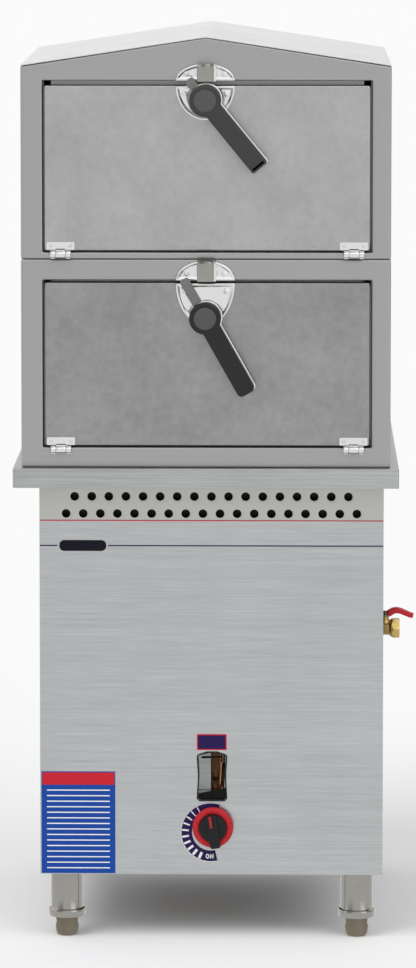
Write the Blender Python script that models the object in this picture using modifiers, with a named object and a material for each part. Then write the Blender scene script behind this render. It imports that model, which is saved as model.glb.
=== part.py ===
"""Gas steamer: a two-tier steam cabinet with drop-down doors over a gas-fired water tank.

Units are metres, +Z is up and the front faces -Y. Lengths are laid out from the middle of the
ledge on the floor, and the empty called steamer moves that layout so that the origin is the
middle of the bounding box's bottom.
"""

import math

import bmesh
import bpy
from mathutils import Vector

MM = 0.001

# Sheet, fits and facets
SHEET = 1.5 * MM
FIT = 0.3 * MM
OVERRUN = 2 * MM
WELD = 0.01 * MM
ROUND_STEPS = 32
SMALL_STEPS = 20

# Ledge
LEDGE_WIDTH = 630 * MM
LEDGE_DEPTH = 630 * MM
LEDGE_TOP = 788.5 * MM
LEDGE_HEIGHT = 32 * MM

# Lower body
LEDGE_OVERHANG_SIDE = 33.2 * MM
LEDGE_OVERHANG_FRONT = 33 * MM
BODY_SHIFT = 8.8 * MM
BODY_BOTTOM = 110.5 * MM
VENT_STRIP_HEIGHT = 87.2 * MM
VENT_HOLE_RADIUS = 7 * MM
VENT_PITCH = 28 * MM
VENT_MARGIN = 28 * MM
VENT_FIRST_DROP = 48.4 * MM
VENT_ROW_PITCH = 28.3 * MM

# Base frame
FRAME_STOCK = 3 * MM
FRAME_UPSTAND = 25 * MM
FRAME_FLANGE = 80 * MM

# Legs and levelling feet
LEG_INSET = 42 * MM
LEG_RADIUS = 26.5 * MM
LEG_WALL = 1.5 * MM
COLLAR_RADIUS = 30 * MM
COLLAR_HEIGHT = 13 * MM
PLUG_HEIGHT = 27 * MM
FOOT_HEIGHT = 33 * MM
FOOT_RADIUS = 19.2 * MM
FOOT_SOLE_RADIUS = 15 * MM
FOOT_SCREW_RADIUS = 6 * MM
FOOT_SCREW_LENGTH = 60 * MM

# Water tank
TANK_MARGIN = 65 * MM
TANK_HEIGHT = 294.5 * MM
TANK_RIM = 20 * MM

# Drain valve on the right side
VALVE_Y = -230 * MM
VALVE_RISE = 17 * MM
VALVE_OUTSET = 4 * MM
VALVE_HALF_LENGTH = 23.6 * MM
VALVE_HEX_RADIUS = 17.4 * MM
VALVE_HEX_LENGTH = 12 * MM
VALVE_BARREL_RADIUS = 11.7 * MM
VALVE_BALL_RADIUS = 9.2 * MM
VALVE_BORE_RADIUS = 5.5 * MM
VALVE_SOCKET_DEPTH = 11 * MM
STEM_RADIUS = 3.4 * MM
STEM_BOSS_RADIUS = 6.2 * MM
STEM_BOSS_HEIGHT = 21.5 * MM
LEVER_WIDTH = 15 * MM
LEVER_STOCK = 2.6 * MM
LEVER_GRIP_STOCK = 7.5 * MM
LEVER_REACH = 46.6 * MM
LEVER_RISE = 7 * MM
LEVER_DROP = 5 * MM
LEVER_NUT_RADIUS = 6.4 * MM
LEVER_NUT_HEIGHT = 4.5 * MM
WINDOW_MARGIN = 7 * MM
WINDOW_CORNER = 6 * MM
DRAIN_PIPE_RADIUS = 10.6 * MM
DRAIN_PIPE_WALL = 2.6 * MM
DRAIN_PIPE_ENTRY = 6 * MM

# Gas side: control valve, knob and dial on the front panel
KNOB_X = 11.4 * MM
KNOB_RISE = 80.5 * MM
KNOB_RADIUS = 22.6 * MM
KNOB_DEPTH = 12 * MM
KNOB_RING_RADIUS = 33.5 * MM
KNOB_RING_DEPTH = 8 * MM
KNOB_TRAVEL = 6 * MM
KNOB_STANDOFF = 8 * MM
GRIP_BAR_WIDTH = 17.5 * MM
GRIP_BAR_HEIGHT = 9 * MM
SPINDLE_RADIUS = 4 * MM
SPINDLE_GRASP = 10 * MM
CONTROL_WIDTH = 46 * MM
CONTROL_HEIGHT = 40 * MM
CONTROL_DEPTH = 44 * MM
CONTROL_NOSE_RADIUS = 15 * MM
CONTROL_NOSE_LENGTH = 22 * MM
PLUNGER_RADIUS = 10 * MM
PLUNGER_LENGTH = 7 * MM
DIAL_SHIFT = 3.6 * MM
DIAL_DROP = 10 * MM
DIAL_INNER_RADIUS = 31 * MM
DIAL_OUTER_RADIUS = 49.4 * MM
DIAL_STOCK = 0.8 * MM
DIAL_START = 72
DIAL_END = 283
KNOB_TILT = 8.5

# Sight port above the knob
PORT_SHIFT = 1.6 * MM
PORT_RISE = 41.6 * MM
PORT_WIDTH = 50 * MM
PORT_HEIGHT = 83 * MM
PORT_WAIST = 1.6 * MM
PORT_SHOULDER = 9 * MM
PORT_ARCH = 4 * MM
PORT_WALL = 2.4 * MM
PORT_DEPTH = 36 * MM
PORT_PROUD = 1.6 * MM

# Burner and its pipes
BURNER_GAP = 148 * MM
BURNER_RADIUS = 95 * MM
BURNER_RING_WIDTH = 26 * MM
BURNER_THICKNESS = 24 * MM
BURNER_PAN_THICKNESS = 8 * MM
BURNER_HUB_RADIUS = 19 * MM
BURNER_HUB_DROP = 26 * MM
BURNER_PIPE_RADIUS = 8 * MM
PIPE_BEND = 34 * MM
PILOT_BEND = 14 * MM
BRACKET_STOCK = 4 * MM
BRACKET_WIDTH = 50 * MM
BRACKET_FOOT = 24 * MM
INLET_X = -150 * MM
INLET_REACH = 26 * MM
INLET_HEX_RADIUS = 15 * MM
INLET_HEX_LENGTH = 14 * MM
PILOT_RADIUS = 4 * MM
PILOT_OFFSET = 14 * MM
PILOT_FIRST_RISE = 40 * MM
PILOT_CLEARANCE = 12 * MM
PILOT_TIP_RADIUS = 6.5 * MM
PILOT_TIP_LENGTH = 20 * MM

# Steam cabinet
CABINET_MARGIN = 14 * MM
LOWER_TIER_HEIGHT = 341.5 * MM
UPPER_TIER_HEIGHT = 316 * MM
GABLE_RISE = 46 * MM
RUNNER_OVERLAP = 12 * MM
RUNNER_STOCK = 2 * MM
RACK_STOCK = 2.5 * MM
RACK_CLEARANCE = 3 * MM
RACK_FRONT_CLEARANCE = 6 * MM
RACK_BORDER = 28 * MM
RACK_SLOT_WIDTH = 14 * MM
RACK_SLOT_PITCH = 36 * MM
RACK_BAR = 22 * MM
RACK_SLOT_COLUMNS = 3

# Doors and their seats in the frames
LEFT_STILE = 38.85 * MM
RIGHT_STILE = 34.45 * MM
DOOR_THICKNESS = 22 * MM
DOOR_PROUD = 1 * MM
DOOR_SIDE_GAP = 3 * MM
GASKET_THICKNESS = 3.4 * MM
GASKET_WIDTH = 9 * MM
STOP_WIDTH = 13 * MM
HINGE_RADIUS = 6 * MM
HINGE_PIN_RADIUS = 2.5 * MM
HINGE_LENGTH = 33 * MM
HINGE_EAR = 8 * MM
HINGE_FOOT = 7.6 * MM
HINGE_INSET = 26 * MM
LEAF_WIDTH = 46 * MM
LEAF_HEIGHT = 13 * MM
LEAF_STOCK = 2 * MM

# Latches
LATCH_X = -0.8 * MM
LATCH_WIDTH = 97 * MM
LATCH_STOCK = 5 * MM
BOSS_RADIUS = 15 * MM
BOSS_HEIGHT = 10 * MM
ARM_STOCK = 4 * MM
ARM_WIDTH = 16 * MM
ARM_REACH = 60 * MM
TONGUE_BITE = 13 * MM
PIVOT_PIN_RADIUS = 5 * MM
HUB_RADIUS = 26 * MM
GRIP_WIDTH = 30 * MM
GRIP_LENGTH = 141 * MM
GRIP_THICKNESS = 20 * MM
GRIP_CORNER = 5 * MM
STRIKE_WIDTH = 26 * MM
STRIKE_LIP = 4 * MM
STRIKE_TOP_STOCK = 10 * MM
RUNNING = 0.6 * MM
LATCHES = {
    "upper": {
        "sill": 14.5 * MM,
        "head": 33.5 * MM,
        "top_gap": 8 * MM,
        "pivot_drop": 22.6 * MM,
        "plate_rise": 28 * MM,
        "plate_fall": 56 * MM,
        "rest_angle": 39.3,
    },
    "lower": {
        "sill": 36.5 * MM,
        "head": 38.4 * MM,
        "top_gap": 4 * MM,
        "pivot_drop": 55 * MM,
        "plate_rise": 33 * MM,
        "plate_fall": 66 * MM,
        "rest_angle": 29.5,
    },
}

# Sizes and places that follow from the sizes above
BODY_WIDTH = LEDGE_WIDTH - 2 * LEDGE_OVERHANG_SIDE
BODY_DEPTH = LEDGE_DEPTH - 2 * LEDGE_OVERHANG_FRONT
CABINET_WIDTH = LEDGE_WIDTH - 2 * CABINET_MARGIN
CABINET_DEPTH = LEDGE_DEPTH - 2 * CABINET_MARGIN
TIER_SEAM = LEDGE_TOP + LOWER_TIER_HEIGHT
EAVE = TIER_SEAM + UPPER_TIER_HEIGHT
APEX = EAVE + GABLE_RISE
TANK_WIDTH = LEDGE_WIDTH - 2 * TANK_MARGIN
TANK_DEPTH = LEDGE_DEPTH - 2 * TANK_MARGIN
TANK_FLOOR = LEDGE_TOP - TANK_HEIGHT
BURNER_TOP = TANK_FLOOR - BURNER_GAP
DOOR_X = (LEFT_STILE - RIGHT_STILE) / 2
DOOR_WIDTH = CABINET_WIDTH - LEFT_STILE - RIGHT_STILE
DOORS = {
    "upper": {**LATCHES["upper"], "bottom": TIER_SEAM + LATCHES["upper"]["sill"],
              "top": EAVE - LATCHES["upper"]["head"]},
    "lower": {**LATCHES["lower"], "bottom": LEDGE_TOP + LATCHES["lower"]["sill"],
              "top": TIER_SEAM - LATCHES["lower"]["head"]},
}
BODY_LEFT = BODY_SHIFT - BODY_WIDTH / 2
BODY_RIGHT = BODY_SHIFT + BODY_WIDTH / 2
BODY_FRONT = -BODY_DEPTH / 2
BODY_BACK = BODY_DEPTH / 2
PANEL_TOP = LEDGE_TOP - SHEET - FIT
VENT_STRIP_BOTTOM = PANEL_TOP - VENT_STRIP_HEIGHT
KNOB_Z = BODY_BOTTOM + KNOB_RISE
DIAL_X = KNOB_X - DIAL_SHIFT
DIAL_Z = KNOB_Z - DIAL_DROP
PORT_X = KNOB_X - PORT_SHIFT
PORT_BOTTOM = KNOB_Z + PORT_RISE
VALVE_X = BODY_RIGHT + VALVE_OUTSET
VALVE_Z = TANK_FLOOR + VALVE_RISE
CABINET_FRONT = -CABINET_DEPTH / 2
CABINET_BACK = CABINET_DEPTH / 2
CABINET_SIDE = CABINET_WIDTH / 2
DOOR_FRONT = CABINET_FRONT - DOOR_PROUD
DOOR_BACK = DOOR_FRONT + DOOR_THICKNESS
STOP_FRONT = DOOR_BACK + GASKET_THICKNESS + 2 * FIT
STOP_BACK = STOP_FRONT + SHEET
HINGE_Y = CABINET_FRONT - FIT - HINGE_RADIUS
LATCH_BACK = DOOR_FRONT - FIT
LATCH_FRONT = LATCH_BACK - LATCH_STOCK
ARM_BACK = LATCH_FRONT - BOSS_HEIGHT - FIT
ARM_FRONT = ARM_BACK - ARM_STOCK
GRIP_BACK = ARM_FRONT - FIT
GRIP_FRONT = GRIP_BACK - GRIP_THICKNESS
STRIKE_FRONT = ARM_FRONT - RUNNING - STRIKE_LIP
CONTROL_FRONT = BODY_FRONT + SHEET + FIT + CONTROL_NOSE_LENGTH
CONTROL_BACK = CONTROL_FRONT + CONTROL_DEPTH
LEVER_BASE = VALVE_Z + STEM_BOSS_HEIGHT + FIT

# Middle of the bounding box, measured from the middle of the ledge
REACH_LEFT = -LEDGE_WIDTH / 2
REACH_RIGHT = VALVE_X + LEVER_REACH
REACH_FRONT = GRIP_FRONT
REACH_BACK = max(LEDGE_DEPTH / 2, BODY_BACK + INLET_REACH)
BOX_MIDDLE = Vector(((REACH_LEFT + REACH_RIGHT) / 2, (REACH_FRONT + REACH_BACK) / 2, 0))

# Turns that lay a shape's own Z along an axis of the object
FACING_UP = (0, 0, 0)
FACING_FRONT = (math.pi / 2, 0, 0)
FACING_RIGHT = (0, math.pi / 2, 0)
ACROSS = (math.pi / 2, 0, math.pi / 2)


def clear_scene():
    """Remove what the scene holds, and give the object and its cutters a collection each."""
    for old in list(bpy.data.objects):
        bpy.data.objects.remove(old)
    for name in ("gas_steamer", "cutters"):
        if name not in bpy.data.collections:
            bpy.context.scene.collection.children.link(bpy.data.collections.new(name))


def finish(name, colour, roughness, metallic):
    """A plain material in the colour and gloss of one of the object's finishes."""
    made = bpy.data.materials.new(name)
    made.use_nodes = True
    shader = made.node_tree.nodes["Principled BSDF"]
    shader.inputs["Base Color"].default_value = (*colour, 1)
    shader.inputs["Roughness"].default_value = roughness
    shader.inputs["Metallic"].default_value = metallic
    return made


def pivot(name, place, parent=None):
    """An empty on a joint's axis, placed by its layout position."""
    empty = bpy.data.objects.new(name, None)
    bpy.data.collections["gas_steamer"].objects.link(empty)
    empty["layout"] = place
    if parent:
        empty.parent = parent
        empty.location = Vector(place) - Vector(parent["layout"])
    return empty


def add(name, mesh, place, turn, look, holder):
    """Link a mesh as an object at its layout position, held by a pivot."""
    made = bpy.data.objects.new(name, mesh)
    bpy.data.collections["gas_steamer"].objects.link(made)
    made.parent = holder
    made.location = Vector(place) - Vector(holder["layout"])
    made.rotation_euler = turn
    mesh.materials.clear()
    mesh.materials.append(look)
    return made


def shade_round(mesh):
    """Smooth the round faces of a mesh and keep its real corners sharp."""
    mesh.shade_smooth()
    mesh.set_sharp_from_angle(angle=math.radians(35))


def box(name, low, high, look, holder):
    """A block between two opposite corners."""
    low, high = Vector(low), Vector(high)
    work = bmesh.new()
    bmesh.ops.create_cube(work, size=1)
    bmesh.ops.scale(work, vec=high - low, verts=work.verts)
    mesh = bpy.data.meshes.new(name)
    work.to_mesh(mesh)
    work.free()
    return add(name, mesh, (low + high) / 2, FACING_UP, look, holder)


def rod(name, radius, length, place, turn, look, holder, steps=ROUND_STEPS):
    """A cylinder that starts at a place and runs along its own Z; six steps make a hexagon."""
    work = bmesh.new()
    bmesh.ops.create_cone(work, cap_ends=True, segments=steps, radius1=radius, radius2=radius, depth=length)
    bmesh.ops.translate(work, vec=(0, 0, length / 2), verts=work.verts)
    mesh = bpy.data.meshes.new(name)
    work.to_mesh(mesh)
    work.free()
    shade_round(mesh)
    return add(name, mesh, place, turn, look, holder)


def turned(name, profile, place, turn, look, holder, closed=False, steps=ROUND_STEPS):
    """A turned shape: (radius, height) points, outer side first, top to bottom, spun round Z."""
    count = len(profile)
    mesh = bpy.data.meshes.new(name)
    edges = [(step, step + 1) for step in range(count - 1)]
    if closed:
        edges.append((count - 1, 0))
    mesh.from_pydata([(radius, 0, height) for radius, height in profile], edges, [])
    made = add(name, mesh, place, turn, look, holder)
    screw = made.modifiers.new("turn", "SCREW")
    screw.steps = screw.render_steps = steps
    screw.use_merge_vertices = True
    screw.merge_threshold = WELD
    screw.use_smooth_shade = True
    return made


def plate(name, outline, holes, thickness, place, turn, look, holder):
    """A flat outline with holes, extruded to both sides of its plane."""
    curve = bpy.data.curves.new(name, "CURVE")
    curve.dimensions = "2D"
    curve.fill_mode = "BOTH"
    curve.extrude = thickness / 2
    for ring in [outline, *holes]:
        spline = curve.splines.new("POLY")
        spline.points.add(len(ring) - 1)
        for point, (x, y) in zip(spline.points, ring):
            point.co = (x, y, 0, 1)
        spline.use_cyclic_u = True
    return mesh_from(name, curve, place, turn, look, holder)


def tube(name, route, radius, look, holder):
    """A round bar along a route of points in layout positions."""
    curve = bpy.data.curves.new(name, "CURVE")
    curve.dimensions = "3D"
    curve.bevel_depth = radius
    curve.bevel_resolution = 3
    curve.use_fill_caps = True
    spline = curve.splines.new("POLY")
    spline.points.add(len(route) - 1)
    for point, place in zip(spline.points, route):
        point.co = (*place, 1)
    made = mesh_from(name, curve, (0, 0, 0), FACING_UP, look, holder)
    shade_round(made.data)
    return made


def mesh_from(name, curve, place, turn, look, holder):
    """Turn a curve into a welded mesh object, so that it can be cut and joined."""
    guide = bpy.data.objects.new(name + "_guide", curve)
    bpy.data.collections["cutters"].objects.link(guide)
    bpy.context.view_layer.update()
    mesh = bpy.data.meshes.new_from_object(guide.evaluated_get(bpy.context.evaluated_depsgraph_get()))
    bpy.data.objects.remove(guide)
    mesh.name = name
    work = bmesh.new()
    work.from_mesh(mesh)
    bmesh.ops.remove_doubles(work, verts=work.verts, dist=WELD)
    bmesh.ops.recalc_face_normals(work, faces=work.faces)
    work.to_mesh(mesh)
    work.free()
    return add(name, mesh, place, turn, look, holder)


def combine(target, tool, operation):
    """Join a tool to an object or cut it away, and keep the tool among the cutters."""
    boolean = target.modifiers.new(operation.lower(), "BOOLEAN")
    boolean.operation = operation
    boolean.object = tool
    bpy.data.collections["gas_steamer"].objects.unlink(tool)
    bpy.data.collections["cutters"].objects.link(tool)
    tool.name = f"{target.name}_{operation.lower()}_{len(target.modifiers)}"
    tool.hide_render = True
    tool.display_type = "WIRE"
    return target


def join(target, *tools):
    for tool in tools:
        combine(target, tool, "UNION")
    return target


def cut(target, *tools):
    for tool in tools:
        combine(target, tool, "DIFFERENCE")
    return target


def circle(radius, centre=(0, 0), steps=SMALL_STEPS):
    """Points round a circle."""
    return arc(radius, centre, 0, 360 * (1 - 1 / steps), steps)


def arc(radius, centre, start, end, points):
    """Points on an arc between two angles in degrees."""
    turns = [math.radians(start + (end - start) * step / (points - 1)) for step in range(points)]
    return [(centre[0] + radius * math.cos(turn), centre[1] + radius * math.sin(turn)) for turn in turns]


def rectangle(left, bottom, right, top):
    return [(left, bottom), (right, bottom), (right, top), (left, top)]


def rounded(left, bottom, right, top, radius, points=5):
    """A rectangle with quarter rounds at its corners."""
    ring = arc(radius, (right - radius, bottom + radius), -90, 0, points)
    ring += arc(radius, (right - radius, top - radius), 0, 90, points)
    ring += arc(radius, (left + radius, top - radius), 90, 180, points)
    ring += arc(radius, (left + radius, bottom + radius), 180, 270, points)
    return ring


def turned_points(points, degrees):
    """Points turned about the origin of their plane."""
    cosine, sine = math.cos(math.radians(degrees)), math.sin(math.radians(degrees))
    return [(x * cosine - y * sine, x * sine + y * cosine) for x, y in points]


def make_ledge(look, holder):
    """A sheet tray upside down, with its apron turned down and an opening over the tank."""
    x, y = LEDGE_WIDTH / 2, LEDGE_DEPTH / 2
    bottom = LEDGE_TOP - LEDGE_HEIGHT
    ledge = box("ledge", (-x, -y, bottom), (x, y, LEDGE_TOP), look, holder)
    hollow = box("hollow", (SHEET - x, SHEET - y, bottom - OVERRUN), (x - SHEET, y - SHEET, LEDGE_TOP - SHEET),
                 look, holder)
    opening_x, opening_y = TANK_WIDTH / 2 + FIT, TANK_DEPTH / 2 + FIT
    opening = box("opening", (-opening_x, -opening_y, bottom), (opening_x, opening_y, LEDGE_TOP + OVERRUN),
                  look, holder)
    return cut(ledge, hollow, opening)


def make_front_panel(look, holder):
    """The front sheet, with the sight port's hole and the spindle's hole."""
    outline = rectangle(BODY_LEFT, BODY_BOTTOM, BODY_RIGHT, VENT_STRIP_BOTTOM - FIT / 2)
    holes = [port_outline(FIT), circle(SPINDLE_RADIUS + RUNNING, (KNOB_X, KNOB_Z))]
    middle = (0, BODY_FRONT + SHEET / 2, 0)
    return plate("front_panel", outline, holes, SHEET, middle, FACING_FRONT, look, holder)


def make_vent_strip(look, holder):
    """The perforated strip: rows of round holes, one row half a pitch off the other."""
    outline = rectangle(BODY_LEFT, VENT_STRIP_BOTTOM + FIT / 2, BODY_RIGHT, PANEL_TOP)
    holes = []
    widest_row = int((BODY_WIDTH - 2 * VENT_MARGIN) / VENT_PITCH)
    for row, count in enumerate((widest_row - 1, widest_row)):
        height = PANEL_TOP - VENT_FIRST_DROP - row * VENT_ROW_PITCH
        first = BODY_SHIFT - VENT_PITCH * (count - 1) / 2
        holes += [circle(VENT_HOLE_RADIUS, (first + VENT_PITCH * step, height), 12) for step in range(count)]
    middle = (0, BODY_FRONT + SHEET / 2, 0)
    return plate("vent_strip", outline, holes, SHEET, middle, FACING_FRONT, look, holder)


def make_side_panels(look, holder):
    """Left and right sheets; the right one has a window for the drain valve and its lever's turn."""
    front, back = BODY_FRONT + SHEET + FIT, BODY_BACK
    outline = rectangle(front, BODY_BOTTOM, back, PANEL_TOP)
    left_middle = (BODY_LEFT + SHEET / 2, 0, 0)
    left = plate("left_panel", outline, [], SHEET, left_middle, ACROSS, look, holder)
    window = rounded(
        VALVE_Y - VALVE_HEX_RADIUS - WINDOW_MARGIN,
        VALVE_Z - VALVE_HEX_RADIUS - WINDOW_MARGIN,
        VALVE_Y + LEVER_REACH + WINDOW_MARGIN,
        LEVER_BASE + LEVER_RISE + LEVER_GRIP_STOCK + WINDOW_MARGIN,
        WINDOW_CORNER,
    )
    right_middle = (BODY_RIGHT - SHEET / 2, 0, 0)
    right = plate("right_panel", outline, [window], SHEET, right_middle, ACROSS, look, holder)
    return left, right


def make_back_panel(look, holder):
    """The back sheet between the side sheets, with the gas inlet's hole."""
    inset = SHEET + FIT
    outline = rectangle(BODY_LEFT + inset, BODY_BOTTOM, BODY_RIGHT - inset, PANEL_TOP)
    holes = [circle(BURNER_PIPE_RADIUS + FIT, (INLET_X, KNOB_Z))]
    middle = (0, BODY_BACK - SHEET / 2, 0)
    return plate("back_panel", outline, holes, SHEET, middle, FACING_FRONT, look, holder)


def make_base_frame(look, holder):
    """An angle ring inside the sheets: a flange for the legs and an upstand, open in the middle."""
    inset = SHEET + FIT
    left, right = BODY_LEFT + inset, BODY_RIGHT - inset
    front, back = BODY_FRONT + inset, BODY_BACK - inset
    top = BODY_BOTTOM + FRAME_UPSTAND
    frame = box("base_frame", (left, front, BODY_BOTTOM), (right, back, top), look, holder)
    above = BODY_BOTTOM + FRAME_STOCK
    stock, flange = FRAME_STOCK, FRAME_FLANGE
    hollow = box("hollow", (left + stock, front + stock, above), (right - stock, back - stock, top + OVERRUN),
                 look, holder)
    opening = box("opening", (left + flange, front + flange, BODY_BOTTOM - OVERRUN),
                  (right - flange, back - flange, above + OVERRUN), look, holder)
    return cut(frame, hollow, opening)


def leg_places():
    """The four legs' names and centres, inset from the body's sides."""
    places = {}
    for depth, y in (("front", BODY_FRONT + LEG_INSET), ("back", BODY_BACK - LEG_INSET)):
        for side, x in (("left", BODY_LEFT + LEG_INSET), ("right", BODY_RIGHT - LEG_INSET)):
            places[f"{depth}_{side}"] = (x, y)
    return places


def make_leg(name, x, y, look, holder):
    """A tube with a collar and a threaded plug at its lower end."""
    top = BODY_BOTTOM - FIT
    bore = FOOT_SCREW_RADIUS + FIT
    profile = [
        (LEG_RADIUS, top),
        (LEG_RADIUS, FOOT_HEIGHT + COLLAR_HEIGHT),
        (COLLAR_RADIUS, FOOT_HEIGHT + COLLAR_HEIGHT),
        (COLLAR_RADIUS, FOOT_HEIGHT),
        (bore, FOOT_HEIGHT),
        (bore, FOOT_HEIGHT + PLUG_HEIGHT),
        (LEG_RADIUS - LEG_WALL, FOOT_HEIGHT + PLUG_HEIGHT),
        (LEG_RADIUS - LEG_WALL, top),
    ]
    return turned(f"leg_{name}", profile, (x, y, 0), FACING_UP, look, holder, closed=True)


def make_foot(name, x, y, look, holder):
    """A bullet foot with a flat sole and a screw that runs up into the leg's plug."""
    shoulder = FOOT_HEIGHT - FIT
    profile = [
        (0, shoulder + FOOT_SCREW_LENGTH),
        (FOOT_SCREW_RADIUS, shoulder + FOOT_SCREW_LENGTH),
        (FOOT_SCREW_RADIUS, shoulder),
        (FOOT_RADIUS, shoulder),
        (FOOT_RADIUS, FOOT_HEIGHT / 2),
        (FOOT_SOLE_RADIUS, 0),
        (0, 0),
    ]
    return turned(f"foot_{name}", profile, (x, y, 0), FACING_UP, look, holder, steps=SMALL_STEPS)


def make_tank(look, holder):
    """The water tank: a deep tray that hangs on the ledge by its rim."""
    x, y = TANK_WIDTH / 2, TANK_DEPTH / 2
    rim_bottom = LEDGE_TOP + FIT
    rim_top = rim_bottom + SHEET
    tank = box("water_tank", (-x, -y, TANK_FLOOR), (x, y, rim_top), look, holder)
    rim = box("rim", (-x - TANK_RIM, -y - TANK_RIM, rim_bottom), (x + TANK_RIM, y + TANK_RIM, rim_top),
              look, holder)
    join(tank, rim)
    hollow = box("hollow", (SHEET - x, SHEET - y, TANK_FLOOR + SHEET), (x - SHEET, y - SHEET, rim_top + OVERRUN),
                 look, holder)
    outlet = rod("outlet", DRAIN_PIPE_RADIUS + FIT, 2 * DRAIN_PIPE_ENTRY + SHEET,
                 (x - SHEET - DRAIN_PIPE_ENTRY, VALVE_Y, VALVE_Z), FACING_RIGHT, look, holder, SMALL_STEPS)
    return cut(tank, hollow, outlet)


def make_drain_pipe(look, holder):
    """A short pipe from inside the tank's wall to the valve's inner socket."""
    start = TANK_WIDTH / 2 - SHEET - DRAIN_PIPE_ENTRY
    end = VALVE_X - VALVE_HALF_LENGTH + VALVE_SOCKET_DEPTH - FIT
    bore = DRAIN_PIPE_RADIUS - DRAIN_PIPE_WALL
    profile = [(DRAIN_PIPE_RADIUS, end - start), (DRAIN_PIPE_RADIUS, 0), (bore, 0), (bore, end - start)]
    return turned("drain_pipe", profile, (start, VALVE_Y, VALVE_Z), FACING_RIGHT, look, holder, closed=True,
                  steps=SMALL_STEPS)


def make_drain_valve_body(look, holder):
    """A ball valve's body: a barrel between two hexagons, with a boss for the stem on top."""
    centre = (VALVE_X, VALVE_Y, VALVE_Z)
    half = VALVE_HALF_LENGTH
    inner_end = (VALVE_X - half, VALVE_Y, VALVE_Z)
    outer_hex = (VALVE_X + half - VALVE_HEX_LENGTH, VALVE_Y, VALVE_Z)
    body = rod("drain_valve_body", VALVE_BARREL_RADIUS, 2 * half - OVERRUN,
               (VALVE_X - half + OVERRUN / 2, VALVE_Y, VALVE_Z), FACING_RIGHT, look, holder, SMALL_STEPS)
    for start in (inner_end, outer_hex):
        join(body, rod("hexagon", VALVE_HEX_RADIUS, VALVE_HEX_LENGTH, start, FACING_RIGHT, look, holder, 6))
    join(body, rod("boss", STEM_BOSS_RADIUS, STEM_BOSS_HEIGHT, centre, FACING_UP, look, holder, SMALL_STEPS))
    seat, socket = VALVE_BALL_RADIUS + FIT, DRAIN_PIPE_RADIUS + FIT
    bore = [
        (0, half + OVERRUN),
        (socket, half + OVERRUN),
        (socket, half - VALVE_SOCKET_DEPTH),
        (VALVE_BORE_RADIUS, half - VALVE_SOCKET_DEPTH),
    ]
    edge = math.degrees(math.asin(VALVE_BORE_RADIUS / seat))
    bore += [(height, reach) for reach, height in arc(seat, (0, 0), edge, 180 - edge, 9)]
    bore += [(radius, -height) for radius, height in reversed(bore[:4])]
    cut(body, turned("bore", bore, centre, FACING_RIGHT, look, holder, steps=SMALL_STEPS))
    return cut(body, rod("stem_hole", STEM_RADIUS + FIT, STEM_BOSS_HEIGHT + OVERRUN, centre, FACING_UP, look,
                         holder, SMALL_STEPS))


def make_drain_valve_ball(look, holder):
    """The ball with its bore, and the stem that the lever turns."""
    centre = (VALVE_X, VALVE_Y, VALVE_Z)
    circle_round = arc(VALVE_BALL_RADIUS, (0, 0), 90, -90, 13)
    profile = [(max(reach, 0), height) for reach, height in circle_round]
    profile[0], profile[-1] = (0, VALVE_BALL_RADIUS), (0, -VALVE_BALL_RADIUS)
    ball = turned("drain_valve_ball", profile, centre, FACING_UP, look, holder, steps=SMALL_STEPS)
    top = STEM_BOSS_HEIGHT + FIT + LEVER_STOCK + LEVER_NUT_HEIGHT
    join(ball, rod("stem", STEM_RADIUS, top, centre, FACING_UP, look, holder, SMALL_STEPS))
    start = (VALVE_X - VALVE_BALL_RADIUS - OVERRUN, VALVE_Y, VALVE_Z)
    return cut(ball, rod("bore", VALVE_BORE_RADIUS, 2 * (VALVE_BALL_RADIUS + OVERRUN), start, FACING_RIGHT, look,
                         holder, SMALL_STEPS))


def make_drain_lever(look, holder):
    """A cranked lever: flat round the stem, up a step, then a thicker grip that slopes down."""
    base, reach = LEVER_BASE, LEVER_REACH
    heel = -LEVER_WIDTH / 2
    step = LEVER_WIDTH / 2
    crest = base + LEVER_RISE + LEVER_STOCK
    tip = crest + LEVER_GRIP_STOCK / 2 - LEVER_DROP - LEVER_RISE
    outline = [
        (heel, base),
        (step, base),
        (2 * step, base + LEVER_RISE - LEVER_STOCK),
        (reach - LEVER_STOCK, tip - LEVER_GRIP_STOCK / 2),
        (reach, tip),
        (reach - LEVER_STOCK, tip + LEVER_GRIP_STOCK / 2),
        (2 * step, crest + LEVER_STOCK),
        (step + LEVER_STOCK, crest),
        (step, base + LEVER_STOCK),
        (heel, base + LEVER_STOCK),
    ]
    outline = [(VALVE_X + x, z) for x, z in outline]
    lever = plate("drain_lever", outline, [], LEVER_WIDTH, (0, VALVE_Y, 0), FACING_FRONT, look, holder)
    start = (VALVE_X, VALVE_Y, base - OVERRUN)
    return cut(lever, rod("stem_hole", STEM_RADIUS + FIT, LEVER_STOCK + 2 * OVERRUN, start, FACING_UP, look,
                          holder, SMALL_STEPS))


def make_lever_nut(look, holder):
    """The hexagon nut that holds the lever on the stem."""
    start = (VALVE_X, VALVE_Y, LEVER_BASE + LEVER_STOCK + FIT)
    nut = rod("drain_lever_nut", LEVER_NUT_RADIUS, LEVER_NUT_HEIGHT, start, FACING_UP, look, holder, 6)
    hole_start = (VALVE_X, VALVE_Y, start[2] - OVERRUN)
    return cut(nut, rod("stem_hole", STEM_RADIUS + FIT, LEVER_NUT_HEIGHT + 2 * OVERRUN, hole_start, FACING_UP,
                        look, holder, SMALL_STEPS))


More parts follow.
